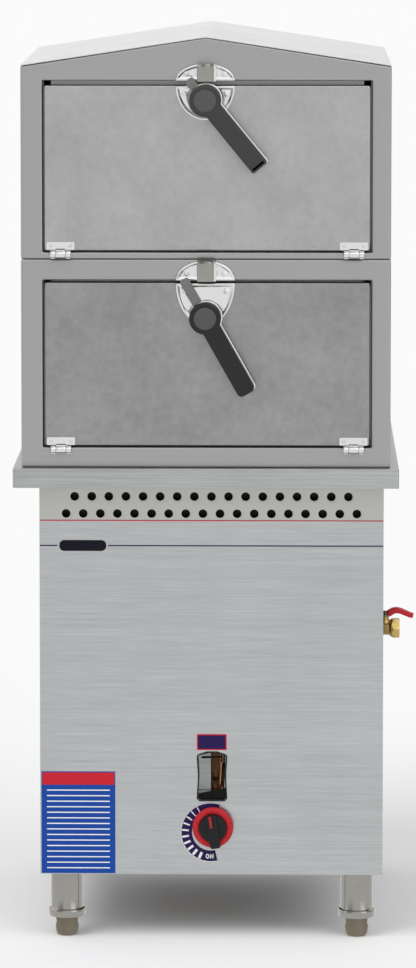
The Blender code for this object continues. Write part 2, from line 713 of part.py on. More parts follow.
def make_control_valve(look, holder):
    """The gas control: a block with a nose against the front sheet, bored for plunger and spindle."""
    middle = (CONTROL_FRONT + CONTROL_BACK) / 2
    x, z = CONTROL_WIDTH / 2, CONTROL_HEIGHT / 2
    valve = box("gas_control_valve", (KNOB_X - x, CONTROL_FRONT, KNOB_Z - z),
                (KNOB_X + x, CONTROL_BACK, KNOB_Z + z), look, holder)
    nose_front = CONTROL_FRONT - CONTROL_NOSE_LENGTH
    join(valve, rod("nose", CONTROL_NOSE_RADIUS, middle - nose_front, (KNOB_X, middle, KNOB_Z), FACING_FRONT,
                    look, holder))
    well = PLUNGER_LENGTH + KNOB_TRAVEL + 3 * RUNNING
    depth = CONTROL_NOSE_LENGTH + SPINDLE_GRASP + KNOB_TRAVEL + 2 * RUNNING
    for radius, length in ((PLUNGER_RADIUS + FIT, well), (SPINDLE_RADIUS + RUNNING, depth)):
        start = (KNOB_X, nose_front + length, KNOB_Z)
        cut(valve, rod("bore", radius, length + OVERRUN, start, FACING_FRONT, look, holder, SMALL_STEPS))
    return valve


def make_plunger(look, holder):
    """The collar on the spindle that travels in the nose when the knob is pushed."""
    bore = SPINDLE_RADIUS + FIT
    profile = [(PLUNGER_RADIUS, PLUNGER_LENGTH), (PLUNGER_RADIUS, 0), (bore, 0), (bore, PLUNGER_LENGTH)]
    start = CONTROL_FRONT - CONTROL_NOSE_LENGTH + 2 * RUNNING + PLUNGER_LENGTH
    return turned("gas_valve_plunger", profile, (KNOB_X, start, KNOB_Z), FACING_FRONT, look, holder,
                  closed=True, steps=SMALL_STEPS)


def make_spindle(look, holder):
    """The round bar from inside the valve to inside the knob."""
    start, end = CONTROL_FRONT + SPINDLE_GRASP, BODY_FRONT - KNOB_STANDOFF - SPINDLE_GRASP
    return rod("knob_spindle", SPINDLE_RADIUS, start - end, (KNOB_X, start, KNOB_Z), FACING_FRONT, look, holder,
               SMALL_STEPS)


def make_knob(look, holder):
    """The black core, with a grip bar that crosses it and runs down over the ring."""
    back = BODY_FRONT - KNOB_STANDOFF
    knob = rod("gas_knob", KNOB_RADIUS, KNOB_DEPTH, (KNOB_X, back, KNOB_Z), FACING_FRONT, look, holder)
    bar_back = back - KNOB_RING_DEPTH - FIT
    half = GRIP_BAR_WIDTH / 2
    outline = rounded(-half, -KNOB_RING_RADIUS, half, KNOB_RADIUS - FIT, half / 2)
    middle = (KNOB_X, bar_back - GRIP_BAR_HEIGHT / 2, KNOB_Z)
    join(knob, plate("bar", turned_points(outline, KNOB_TILT), [], GRIP_BAR_HEIGHT, middle, FACING_FRONT, look,
                     holder))
    start = (KNOB_X, back + OVERRUN, KNOB_Z)
    return cut(knob, rod("socket", SPINDLE_RADIUS + FIT, SPINDLE_GRASP + FIT + OVERRUN, start, FACING_FRONT,
                         look, holder, SMALL_STEPS))


def make_knob_ring(look, holder):
    """The red skirt round the knob's core, with a chamfered front edge."""
    chamfer = KNOB_RING_DEPTH / 4
    bore = KNOB_RADIUS + FIT
    profile = [
        (KNOB_RING_RADIUS - chamfer, KNOB_RING_DEPTH),
        (KNOB_RING_RADIUS, KNOB_RING_DEPTH - chamfer),
        (KNOB_RING_RADIUS, 0),
        (bore, 0),
        (bore, KNOB_RING_DEPTH),
    ]
    place = (KNOB_X, BODY_FRONT - KNOB_STANDOFF, KNOB_Z)
    return turned("knob_ring", profile, place, FACING_FRONT, look, holder, closed=True)


def make_dial(look, holder):
    """The dial: part of a flat ring round the knob's left side."""
    outline = arc(DIAL_OUTER_RADIUS, (0, 0), DIAL_START, DIAL_END, ROUND_STEPS)
    outline += arc(DIAL_INNER_RADIUS, (0, 0), DIAL_END, DIAL_START, ROUND_STEPS)
    place = (DIAL_X, BODY_FRONT - FIT - DIAL_STOCK / 2, DIAL_Z)
    return plate("dial_plate", outline, [], DIAL_STOCK, place, FACING_FRONT, look, holder)


def port_outline(grow):
    """The sight port: an arched top, wide shoulders at both ends and a slight waist between."""
    half, waist = PORT_WIDTH / 2 + grow, PORT_WIDTH / 2 - PORT_WAIST + grow
    bottom, top = PORT_BOTTOM - grow, PORT_BOTTOM + PORT_HEIGHT + grow
    shoulder = PORT_SHOULDER
    right = [(half - shoulder / 2, bottom), (half, bottom + shoulder / 2), (half, bottom + shoulder)]
    right += [(waist, bottom + 2 * shoulder), (waist, top - 2 * shoulder), (half, top - 1.5 * shoulder)]
    right += [(half, top - shoulder), (half - shoulder / 2, top - PORT_ARCH)]
    left = [(-x, z) for x, z in reversed(right)]
    crown = [(half / 3, top), (-half / 3, top)]
    return [(PORT_X + x, z) for x, z in [*right, *crown, *left]]


def make_sight_port(look, holder):
    """The black sleeve through the front sheet that the burner is lit and watched through."""
    middle = BODY_FRONT - PORT_PROUD + PORT_DEPTH / 2
    return plate("sight_port", port_outline(0), [port_outline(-PORT_WALL)], PORT_DEPTH, (0, middle, 0),
                 FACING_FRONT, look, holder)


def bent_route(corners, bend):
    """A route through right-angle corners, each rounded with a quarter circle."""
    route = [Vector(corners[0])]
    for before, corner, after in zip(corners, corners[1:], corners[2:]):
        corner = Vector(corner)
        inward = (corner - Vector(before)).normalized()
        onward = (Vector(after) - corner).normalized()
        for x, y in arc(bend, (0, 0), 0, 90, 7):
            route.append(corner - inward * (bend - y) + onward * (bend - x))
    route.append(Vector(corners[-1]))
    return route


def make_inlet_pipe(look, holder):
    """The gas pipe from a hexagon end behind the back sheet to the control valve's left side."""
    end_y = BODY_BACK + INLET_REACH
    turn_y = (CONTROL_FRONT + CONTROL_BACK) / 2
    corners = [(INLET_X, end_y, KNOB_Z), (INLET_X, turn_y, KNOB_Z),
               (KNOB_X - CONTROL_WIDTH / 2 - FIT, turn_y, KNOB_Z)]
    pipe = tube("gas_inlet_pipe", bent_route(corners, PIPE_BEND), BURNER_PIPE_RADIUS, look, holder)
    join(pipe, rod("hexagon", INLET_HEX_RADIUS, INLET_HEX_LENGTH, (INLET_X, end_y, KNOB_Z), FACING_FRONT, look,
                   holder, 6))
    mouth = (INLET_X, end_y + OVERRUN, KNOB_Z)
    return cut(pipe, rod("mouth", BURNER_PIPE_RADIUS - SHEET, INLET_HEX_LENGTH, mouth, FACING_FRONT, look,
                         holder, SMALL_STEPS))


def make_burner_pipe(look, holder):
    """The pipe from the control valve back and up to the burner's hub."""
    hub_bottom = BURNER_TOP - BURNER_THICKNESS - BURNER_HUB_DROP
    corners = [(KNOB_X, CONTROL_BACK + FIT, KNOB_Z), (KNOB_X, 0, KNOB_Z), (KNOB_X, 0, hub_bottom - FIT)]
    return tube("burner_pipe", bent_route(corners, PIPE_BEND), BURNER_PIPE_RADIUS, look, holder)


def make_burner_head(look, holder):
    """The cast burner: a raised ring on a round pan, with a hub below."""
    ring_inner = BURNER_RADIUS - BURNER_RING_WIDTH
    bottom = -BURNER_THICKNESS
    pan_top = bottom + BURNER_PAN_THICKNESS
    profile = [
        (0, pan_top),
        (ring_inner, pan_top),
        (ring_inner, 0),
        (BURNER_RADIUS, 0),
        (BURNER_RADIUS, bottom),
        (BURNER_HUB_RADIUS, bottom),
        (BURNER_HUB_RADIUS, bottom - BURNER_HUB_DROP),
        (0, bottom - BURNER_HUB_DROP),
    ]
    return turned("burner_head", profile, (KNOB_X, 0, BURNER_TOP), FACING_UP, look, holder)


def make_burner_bracket(look, holder):
    """A strip bridge that stands on the base frame and holds the burner by its hub."""
    reach = BODY_WIDTH / 2 - SHEET - FIT - FRAME_FLANGE
    foot, stock = BRACKET_FOOT, BRACKET_STOCK
    low = BODY_BOTTOM + FRAME_STOCK + FIT
    top = BURNER_TOP - BURNER_THICKNESS - FIT
    half = [(reach + foot, low), (reach + foot, low + stock), (reach + stock, low + stock), (reach + stock, top)]
    inner = [(reach, low), (reach, top - stock)]
    outline = half + [(-x, z) for x, z in reversed(half)]
    outline += [(-x, z) for x, z in inner] + list(reversed(inner))
    outline = [(BODY_SHIFT + x, z) for x, z in outline]
    bracket = plate("burner_bracket", outline, [], BRACKET_WIDTH, (0, 0, 0), FACING_FRONT, look, holder)
    start = (KNOB_X, 0, top - stock - OVERRUN)
    return cut(bracket, rod("hub_hole", BURNER_HUB_RADIUS + FIT, stock + 2 * OVERRUN, start, FACING_UP, look,
                            holder))


def make_pilot(look, holder):
    """The pilot: a thin pipe from the control valve to a small burner beside the main one."""
    x = KNOB_X + PILOT_OFFSET
    start_y = (CONTROL_FRONT + CONTROL_BACK) / 2
    low = KNOB_Z + CONTROL_HEIGHT / 2 + FIT
    tip_y = -BURNER_RADIUS - PILOT_CLEARANCE
    tip_bottom = BURNER_TOP - PILOT_TIP_LENGTH
    run_z = low + PILOT_FIRST_RISE
    corners = [(x, start_y, low), (x, start_y, run_z), (x, tip_y, run_z), (x, tip_y, tip_bottom + OVERRUN)]
    pilot = tube("pilot_burner", bent_route(corners, PILOT_BEND), PILOT_RADIUS, look, holder)
    return join(pilot, rod("tip", PILOT_TIP_RADIUS, PILOT_TIP_LENGTH, (x, tip_y, tip_bottom), FACING_UP, look,
                           holder, SMALL_STEPS))


def tier_span(tier):
    """The lowest and highest level of a tier's walls, clear of the ledge, the seam and the roof."""
    if tier == "lower":
        return LEDGE_TOP + FIT, TIER_SEAM - FIT / 2
    return TIER_SEAM + FIT / 2, EAVE - SHEET - FIT


def runner_top(tier):
    """The level of the rack runners: the upper edge of the doorway's stop, so that a rack slides over it."""
    return DOORS[tier]["bottom"] - DOOR_SIDE_GAP + STOP_WIDTH


def rack_half_width():
    """A rack just narrower than the mouth that it slides out through."""
    return DOOR_WIDTH / 2 + DOOR_SIDE_GAP - STOP_WIDTH - RACK_CLEARANCE


def gable(left, right, bottom, eave, apex):
    """A wall's outline with a pointed top."""
    return [(left, bottom), (right, bottom), (right, eave), (0, apex), (left, eave)]


def make_casing(tier, look, holder):
    """A tier's side walls and back wall in one, with a runner along each side for its rack."""
    bottom, top = tier_span(tier)
    front = STOP_BACK + FIT
    side = CABINET_SIDE
    if tier == "upper":
        back_outline = gable(-side, side, bottom, top, APEX - SHEET - FIT)
    else:
        back_outline = rectangle(-side, bottom, side, top)
    casing = plate(f"{tier}_casing", back_outline, [], SHEET, (0, CABINET_BACK - SHEET / 2, 0), FACING_FRONT,
                   look, holder)
    shelf, wall_end = runner_top(tier), CABINET_BACK - SHEET / 2
    for sign in (-1, 1):
        runner_edge = DOOR_X + sign * (rack_half_width() - RUNNER_OVERLAP)
        for inner, outer, low, high in (
            (sign * (side - SHEET), sign * side, bottom, top),
            (runner_edge, sign * (side - SHEET / 2), shelf - RUNNER_STOCK, shelf),
        ):
            left, right = sorted((inner, outer))
            join(casing, box("wall", (left, front, low), (right, wall_end, high), look, holder))
    return casing


def make_front_frame(tier, look, holder):
    """A tier's front: a sheet face, a deep return round the doorway and a stop for the gasket."""
    bottom, top = tier_span(tier)
    side = CABINET_SIDE
    door = DOORS[tier]
    left, right = DOOR_X - DOOR_WIDTH / 2 - DOOR_SIDE_GAP, DOOR_X + DOOR_WIDTH / 2 + DOOR_SIDE_GAP
    low, high = door["bottom"] - DOOR_SIDE_GAP, door["top"] + door["top_gap"]
    if tier == "upper":
        outline = gable(-side, side, bottom, top, APEX - SHEET - FIT)
    else:
        outline = rectangle(-side, bottom, side, top)
    frame = plate(f"{tier}_front_frame", outline, [], SHEET, (0, CABINET_FRONT + SHEET / 2, 0), FACING_FRONT,
                  look, holder)
    join(frame, box("return", (left - SHEET, CABINET_FRONT + SHEET / 2, low - SHEET),
                    (right + SHEET, STOP_BACK, high + SHEET), look, holder))
    cheek_front, cheek_back = CABINET_FRONT + SHEET / 2, STOP_BACK
    for inner, outer in ((-side + SHEET, -side), (side - SHEET, side)):
        xs = sorted((inner, outer))
        join(frame, box("cheek", (xs[0], cheek_front, bottom), (xs[1], cheek_back, top), look, holder))
    doorway = box("doorway", (left, CABINET_FRONT - OVERRUN, low), (right, STOP_FRONT, high), look, holder)
    stop = STOP_WIDTH
    mouth = box("mouth", (left + stop, CABINET_FRONT, low + stop), (right - stop, STOP_BACK + OVERRUN, high - stop),
                look, holder)
    return cut(frame, doorway, mouth)


def make_roof(look, holder):
    """The pitched roof sheet, its ridge running front to back over both gables."""
    side = CABINET_SIDE
    outline = [(-side, EAVE - SHEET), (0, APEX - SHEET), (side, EAVE - SHEET), (side, EAVE), (0, APEX),
               (-side, EAVE)]
    return plate("roof", outline, [], CABINET_DEPTH, (0, 0, 0), FACING_FRONT, look, holder)


def make_rack(tier, look, holder):
    """A slotted sheet grille that rests on the tier's runners."""
    half_width = rack_half_width()
    front, back = STOP_BACK + RACK_FRONT_CLEARANCE, CABINET_BACK - SHEET - RACK_CLEARANCE
    slot_length = (2 * (half_width - RACK_BORDER) - (RACK_SLOT_COLUMNS - 1) * RACK_BAR) / RACK_SLOT_COLUMNS
    rows = int((back - front - 2 * RACK_BORDER) / RACK_SLOT_PITCH)
    first_row = (front + back - (rows - 1) * RACK_SLOT_PITCH) / 2
    holes = []
    for row in range(rows):
        middle = first_row + row * RACK_SLOT_PITCH
        for column in range(RACK_SLOT_COLUMNS):
            left = RACK_BORDER - half_width + column * (slot_length + RACK_BAR)
            holes.append(rectangle(left, middle - RACK_SLOT_WIDTH / 2, left + slot_length,
                                   middle + RACK_SLOT_WIDTH / 2))
    level = runner_top(tier) + FIT + RACK_STOCK / 2
    return plate(f"{tier}_rack", rectangle(-half_width, front, half_width, back), holes, RACK_STOCK,
                 (DOOR_X, 0, level), FACING_UP, look, holder)


def hinge_axis(tier):
    """The level of a door's hinge pins, one barrel radius under the door's lower edge."""
    return DOORS[tier]["bottom"] - HINGE_RADIUS


def hinge_middles():
    """The left and right hinges' middles, inset from the door's corners."""
    reach = DOOR_WIDTH / 2 - HINGE_INSET
    return {"left": DOOR_X - reach, "right": DOOR_X + reach}


def make_hinge_bracket(tier, side, look, holder):
    """Two ears on the frame with the pin between them."""
    x, z = hinge_middles()[side], hinge_axis(tier)
    start = (x - HINGE_LENGTH / 2 + RUNNING, HINGE_Y, z)
    bracket = rod(f"{tier}_hinge_bracket_{side}", HINGE_PIN_RADIUS, HINGE_LENGTH - 2 * RUNNING, start,
                  FACING_RIGHT, look, holder, SMALL_STEPS)
    for ear_start in (x - HINGE_LENGTH / 2, x + HINGE_LENGTH / 2 - HINGE_EAR):
        join(bracket, rod("ear", HINGE_RADIUS, HINGE_EAR, (ear_start, HINGE_Y, z), FACING_RIGHT, look, holder,
                          SMALL_STEPS))
        join(bracket, box("foot", (ear_start + RUNNING, HINGE_Y, z - HINGE_FOOT),
                          (ear_start + HINGE_EAR - RUNNING, CABINET_FRONT - FIT, z), look, holder))
    return bracket


def make_door_skin(tier, look, holder):
    """The door's outer tray, open at the back, with a hinge leaf and knuckle near each lower corner."""
    door = DOORS[tier]
    left, right = DOOR_X - DOOR_WIDTH / 2, DOOR_X + DOOR_WIDTH / 2
    bottom, top = door["bottom"], door["top"]
    skin = box(f"{tier}_door_skin", (left, DOOR_FRONT, bottom), (right, DOOR_BACK, top), look, holder)
    cut(skin, box("hollow", (left + SHEET, DOOR_FRONT + SHEET, bottom + SHEET),
                  (right - SHEET, DOOR_BACK + OVERRUN, top - SHEET), look, holder))
    z = hinge_axis(tier)
    knuckle_length = HINGE_LENGTH - 2 * HINGE_EAR - 2 * RUNNING
    leaf_back, leaf_front = DOOR_FRONT + SHEET / 2, DOOR_FRONT - LEAF_STOCK
    leaf_bottom = bottom + RUNNING
    for x in hinge_middles().values():
        leaf = box("leaf", (x - LEAF_WIDTH / 2, leaf_front, leaf_bottom),
                   (x + LEAF_WIDTH / 2, leaf_back, leaf_bottom + LEAF_HEIGHT), look, holder)
        tongue = box("tongue", (x - knuckle_length / 2, leaf_front, z),
                     (x + knuckle_length / 2, DOOR_FRONT, leaf_bottom + OVERRUN), look, holder)
        start = (x - knuckle_length / 2, HINGE_Y, z)
        knuckle = rod("knuckle", HINGE_RADIUS, knuckle_length, start, FACING_RIGHT, look, holder, SMALL_STEPS)
        join(skin, leaf, tongue, knuckle)
        start = (x - HINGE_LENGTH / 2, HINGE_Y, z)
        cut(skin, rod("pin_hole", HINGE_PIN_RADIUS + FIT, HINGE_LENGTH, start, FACING_RIGHT, look, holder,
                      SMALL_STEPS))
    return skin


def make_door_inner(tier, look, holder):
    """The door's inner sheet, nested between the outer tray's folded edges."""
    door = DOORS[tier]
    inset = SHEET + FIT
    left, right = DOOR_X - DOOR_WIDTH / 2 + inset, DOOR_X + DOOR_WIDTH / 2 - inset
    outline = rectangle(left, door["bottom"] + inset, right, door["top"] - inset)
    return plate(f"{tier}_door_inner", outline, [], SHEET, (0, DOOR_BACK - SHEET / 2, 0), FACING_FRONT, look,
                 holder)


def make_gasket(tier, look, holder):
    """The seal on the door's back, against the frame's stop."""
    door = DOORS[tier]
    left, right = DOOR_X - DOOR_WIDTH / 2, DOOR_X + DOOR_WIDTH / 2
    bottom, top = door["bottom"], door["top"]
    width = GASKET_WIDTH
    outer = rectangle(left, bottom, right, top)
    inner = rectangle(left + width, bottom + width, right - width, top - width)
    middle = DOOR_BACK + FIT + GASKET_THICKNESS / 2
    return plate(f"{tier}_gasket", outer, [inner], GASKET_THICKNESS, (0, middle, 0), FACING_FRONT, look, holder)


def latch_pivot(tier):
    """The level of a latch's pivot, below the door's upper edge."""
    return DOORS[tier]["top"] - DOORS[tier]["pivot_drop"]


def strike_bottom(tier):
    """The lowest level of the strike: the doorway's upper edge."""
    return DOORS[tier]["top"] + DOORS[tier]["top_gap"]


def tongue_reach(tier):
    """How far the tongue reaches from the pivot to bite in the strike."""
    return strike_bottom(tier) - latch_pivot(tier) + TONGUE_BITE


def half_oval(rise, start, end):
    """Points on half an oval as wide as the latch."""
    return [(x, z * rise) for x, z in
            ((LATCH_WIDTH / 2 * math.cos(turn), math.sin(turn)) for turn in
             (math.radians(start + (end - start) * step / 16) for step in range(17)))]


def make_latch_plate(tier, look, holder):
    """The door's half of the oval latch base, with the boss that the handle turns on."""
    door = DOORS[tier]
    outline = [(LATCH_X + x, door["top"] + z) for x, z in half_oval(door["plate_fall"], 180, 360)]
    middle = (LATCH_BACK + LATCH_FRONT) / 2
    base = plate(f"{tier}_latch_plate", outline, [], LATCH_STOCK, (0, middle, 0), FACING_FRONT, look, holder)
    z = latch_pivot(tier)
    for radius, end in ((BOSS_RADIUS, ARM_BACK + FIT), (PIVOT_PIN_RADIUS, GRIP_FRONT + GRIP_THICKNESS / 2)):
        join(base, rod("boss", radius, middle - end, (LATCH_X, middle, z), FACING_FRONT, look, holder,
                       SMALL_STEPS))
    return base


def make_strike(tier, look, holder):
    """The frame's half of the oval base, with the hooked block that the tongue turns into."""
    door = DOORS[tier]
    bottom = strike_bottom(tier)
    outline = [(LATCH_X + x, bottom + z) for x, z in half_oval(door["plate_rise"], 0, 180)]
    back = CABINET_FRONT - FIT
    front = LATCH_FRONT
    strike = plate(f"{tier}_strike", outline, [], back - front, (0, (back + front) / 2, 0), FACING_FRONT, look,
                   holder)
    half = STRIKE_WIDTH / 2
    slot_top = latch_pivot(tier) + tongue_reach(tier) + 2 * RUNNING
    block = box("block", (LATCH_X - half, STRIKE_FRONT, bottom), (LATCH_X + half, back - LATCH_STOCK / 2,
                slot_top + STRIKE_TOP_STOCK), look, holder)
    slot = box("slot", (LATCH_X - half - OVERRUN, ARM_FRONT - RUNNING, bottom - OVERRUN),
               (LATCH_X + half + OVERRUN, ARM_BACK + RUNNING, slot_top), look, holder)
    join(strike, block)
    return cut(strike, slot)


def make_latch_arm(tier, look, holder):
    """The handle's steel arm: a tongue on one side of the pivot and a spine for the grip on the other."""
    half = ARM_WIDTH / 2
    outline = rounded(-half, -ARM_REACH, half, tongue_reach(tier), half / 2)
    outline = turned_points(outline, DOORS[tier]["rest_angle"])
    middle = (LATCH_X, (ARM_BACK + ARM_FRONT) / 2, latch_pivot(tier))
    hole = circle(PIVOT_PIN_RADIUS + FIT)
    return plate(f"{tier}_latch_arm", outline, [hole], ARM_STOCK, middle, FACING_FRONT, look, holder)


def make_latch_grip(tier, look, holder):
    """The dark grip: a round hub over the pivot with a straight bar below it."""
    half = GRIP_WIDTH / 2
    neck = math.degrees(math.asin(half / HUB_RADIUS))
    corner = GRIP_CORNER
    outline = arc(HUB_RADIUS, (0, 0), neck - 90, 270 - neck, 24)
    outline += arc(corner, (corner - half, corner - GRIP_LENGTH), 180, 270, 4)
    outline += arc(corner, (half - corner, corner - GRIP_LENGTH), 270, 360, 4)
    outline = turned_points(outline, DOORS[tier]["rest_angle"])
    middle = (LATCH_X, (GRIP_BACK + GRIP_FRONT) / 2, latch_pivot(tier))
    grip = plate(f"{tier}_latch_grip", outline, [], GRIP_THICKNESS, middle, FACING_FRONT, look, holder)
    start = (LATCH_X, GRIP_BACK + OVERRUN, latch_pivot(tier))
    return cut(grip, rod("socket", PIVOT_PIN_RADIUS + FIT, GRIP_THICKNESS / 2 + OVERRUN + 2 * FIT, start,
                         FACING_FRONT, look, holder, SMALL_STEPS))


def make_stand(looks, base):
    """The lower body with its tank, legs, burner and valves, apart from what moves."""
    steel, bright, cast = looks["steel"], looks["bright"], looks["cast"]
    make_ledge(steel, base)
    make_front_panel(steel, base)
    make_vent_strip(steel, base)
    make_side_panels(steel, base)
    make_back_panel(steel, base)
    make_base_frame(steel, base)
    for name, (x, y) in leg_places().items():
        make_leg(name, x, y, bright, base)
        foot = pivot(f"foot_{name}_axis", (x, y, 0), base)
        make_foot(name, x, y, cast, foot)
    make_tank(steel, base)
    make_drain_pipe(looks["brass"], base)
    make_drain_valve_body(looks["brass"], base)
    make_control_valve(looks["brass"], base)
    make_dial(looks["navy"], base)
    make_sight_port(looks["black"], base)
    make_inlet_pipe(looks["copper"], base)
    make_burner_pipe(looks["copper"], base)
    make_burner_head(cast, base)
    make_burner_bracket(steel, base)
    make_pilot(looks["copper"], base)


def make_drain_handle(looks, base):
    """What turns with the drain lever, held on the stem's axis."""
    stem = pivot("drain_stem_axis", (VALVE_X, VALVE_Y, VALVE_Z), base)
    make_drain_valve_ball(looks["bright"], stem)
    make_drain_lever(looks["red"], stem)
    make_lever_nut(looks["bright"], stem)


def make_knob_group(looks, base):
    """What is pushed with the knob, and what also turns with it, held on the spindle's axis."""
    push = pivot("knob_push_axis", (KNOB_X, BODY_FRONT, KNOB_Z), base)
    turn = pivot("knob_turn_axis", (KNOB_X, BODY_FRONT, KNOB_Z), push)
    make_plunger(looks["bright"], push)
    make_spindle(looks["bright"], turn)
    make_knob(looks["black"], turn)
    make_knob_ring(looks["red"], turn)


def make_tier(tier, looks, base):
    """One storey of the cabinet: walls, frame, rack, door and latch."""
    make_casing(tier, looks["satin"], base)
    make_front_frame(tier, looks["satin"], base)
    make_rack(tier, looks["steel"], base)
    make_strike(tier, looks["chrome"], base)
    door = pivot(f"{tier}_door_axis", (DOOR_X, HINGE_Y, hinge_axis(tier)), base)
    make_door_skin(tier, looks["satin"], door)
    make_door_inner(tier, looks["steel"], door)
    make_gasket(tier, looks["rubber"], door)
    make_latch_plate(tier, looks["chrome"], door)
    for side in hinge_middles():
        make_hinge_bracket(tier, side, looks["chrome"], base)
    handle = pivot(f"{tier}_latch_axis", (LATCH_X, LATCH_FRONT, latch_pivot(tier)), door)
    make_latch_arm(tier, looks["chrome"], handle)
    make_latch_grip(tier, looks["black"], handle)


def main():
    clear_scene()
    looks = {
        "steel": finish("brushed_steel", (0.43, 0.45, 0.45), 0.32, 1.0),
        "satin": finish("satin_steel", (0.40, 0.40, 0.40), 0.38, 1.0),
        "bright": finish("polished_steel", (0.55, 0.55, 0.53), 0.15, 1.0),
        "chrome": finish("chrome", (0.75, 0.75, 0.75), 0.08, 1.0),
        "cast": finish("cast_metal", (0.14, 0.14, 0.13), 0.6, 0.8),
        "brass": finish("brass", (0.56, 0.40, 0.14), 0.3, 1.0),
        "copper": finish("copper", (0.55, 0.27, 0.15), 0.35, 1.0),
        "red": finish("red_vinyl", (0.50, 0.01, 0.02), 0.4, 0.0),
        "black": finish("black_plastic", (0.015, 0.015, 0.016), 0.35, 0.0),
        "navy": finish("navy_print", (0.012, 0.008, 0.06), 0.5, 0.0),
        "rubber": finish("silicone_rubber", (0.20, 0.20, 0.20), 0.7, 0.0),
    }
    base = pivot("steamer", (0, 0, 0))
    base.location = -BOX_MIDDLE
    make_stand(looks, base)
    make_drain_handle(looks, base)
    make_knob_group(looks, base)
    for tier in DOORS:
        make_tier(tier, looks, base)
    make_roof(looks["satin"], base)


main()
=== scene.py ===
"""Gas steamer: the finished surfaces, materials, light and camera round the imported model."""

import math

import bmesh
import bpy
import numpy as np
from bpy.props import FloatProperty, FloatVectorProperty, PointerProperty
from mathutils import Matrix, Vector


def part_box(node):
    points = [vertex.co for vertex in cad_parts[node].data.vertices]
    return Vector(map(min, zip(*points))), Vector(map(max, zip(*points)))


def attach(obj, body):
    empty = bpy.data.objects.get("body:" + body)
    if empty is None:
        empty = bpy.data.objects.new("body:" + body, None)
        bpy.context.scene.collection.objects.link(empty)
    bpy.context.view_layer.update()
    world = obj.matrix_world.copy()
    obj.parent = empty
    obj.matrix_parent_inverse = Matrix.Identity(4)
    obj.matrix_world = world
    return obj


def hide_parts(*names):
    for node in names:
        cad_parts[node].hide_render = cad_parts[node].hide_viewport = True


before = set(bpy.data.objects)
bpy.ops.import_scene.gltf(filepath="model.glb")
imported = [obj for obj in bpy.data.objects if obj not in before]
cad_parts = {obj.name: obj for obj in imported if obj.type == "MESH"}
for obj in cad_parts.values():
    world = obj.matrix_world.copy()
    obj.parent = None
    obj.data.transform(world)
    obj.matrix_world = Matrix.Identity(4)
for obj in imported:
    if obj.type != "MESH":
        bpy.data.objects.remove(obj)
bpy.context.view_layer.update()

bl_info = {
    "name": "Gas Steamer",
    "version": (1, 0, 0),
    "blender": (4, 5, 0),
    "location": "View3D > Sidebar > Steamer",
    "description": "Builds a two-tier gas steamer's surfaces, materials, light and camera",
    "category": "Add Mesh",
}

MM = 0.001
WELD = 0.0005 * MM
SHEET = 1.5 * MM
TANK_RIM = 20 * MM
SMOOTH_ANGLE = math.radians(38)
TIERS = ("upper", "lower")
SIDES = ("left", "right")
LEGS = ("front_left", "front_right", "back_left", "back_right")
LEDGE_BOX = np.array([list(corner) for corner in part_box("ledge")])
HOME = LEDGE_BOX.mean(axis=0) * (1, 1, 0)

# Axes that a flat shape's across, up and out directions are laid along
FACING = {
    "front": ((1, 0, 0), (0, 0, 1), (0, -1, 0)),
    "right": ((0, 1, 0), (0, 0, 1), (1, 0, 0)),
    "up": ((1, 0, 0), (0, 1, 0), (0, 0, 1)),
    "down": ((1, 0, 0), (0, -1, 0), (0, 0, -1)),
}


def length(label, value, note):
    """A size in metres that a user may change."""
    return FloatProperty(name=label, description=note, default=value, min=0, precision=4, unit="LENGTH")


def angle(label, value, note):
    """An angle that a user may change."""
    return FloatProperty(name=label, description=note, default=math.radians(value), subtype="ANGLE")


def colour(label, value, note):
    """A surface colour that a user may change."""
    return FloatVectorProperty(name=label, description=note, default=value, size=3, min=0, max=1,
                               subtype="COLOR")


class SteamerSizes(bpy.types.PropertyGroup):
    """Sizes of the fine work on the steamer's pieces."""

    fold: length("Fold radius", 1.6 * MM, "Round of a folded sheet's edge")
    frame_fold: length("Frame fold", 3.5 * MM, "Round of the cabinet front's outer and doorway edges")
    ledge_fold: length("Ledge fold", 2.4 * MM, "Round of the ledge's edges")
    door_fold: length("Door fold", 2.2 * MM, "Round of a door's rim")
    vent_hole: length("Vent hole radius", 7 * MM, "Radius of the strip's round holes")
    vent_pitch: length("Vent pitch", 28 * MM, "Distance between holes in a row")
    screw: length("Screw head radius", 4.4 * MM, "Radius of the latch screws' heads")
    print_proud: length("Print thickness", 0.25 * MM, "How far printed lines stand off the sheet")
    plate_stock: length("Plate thickness", 0.9 * MM, "Thickness of the blank plates on the front")


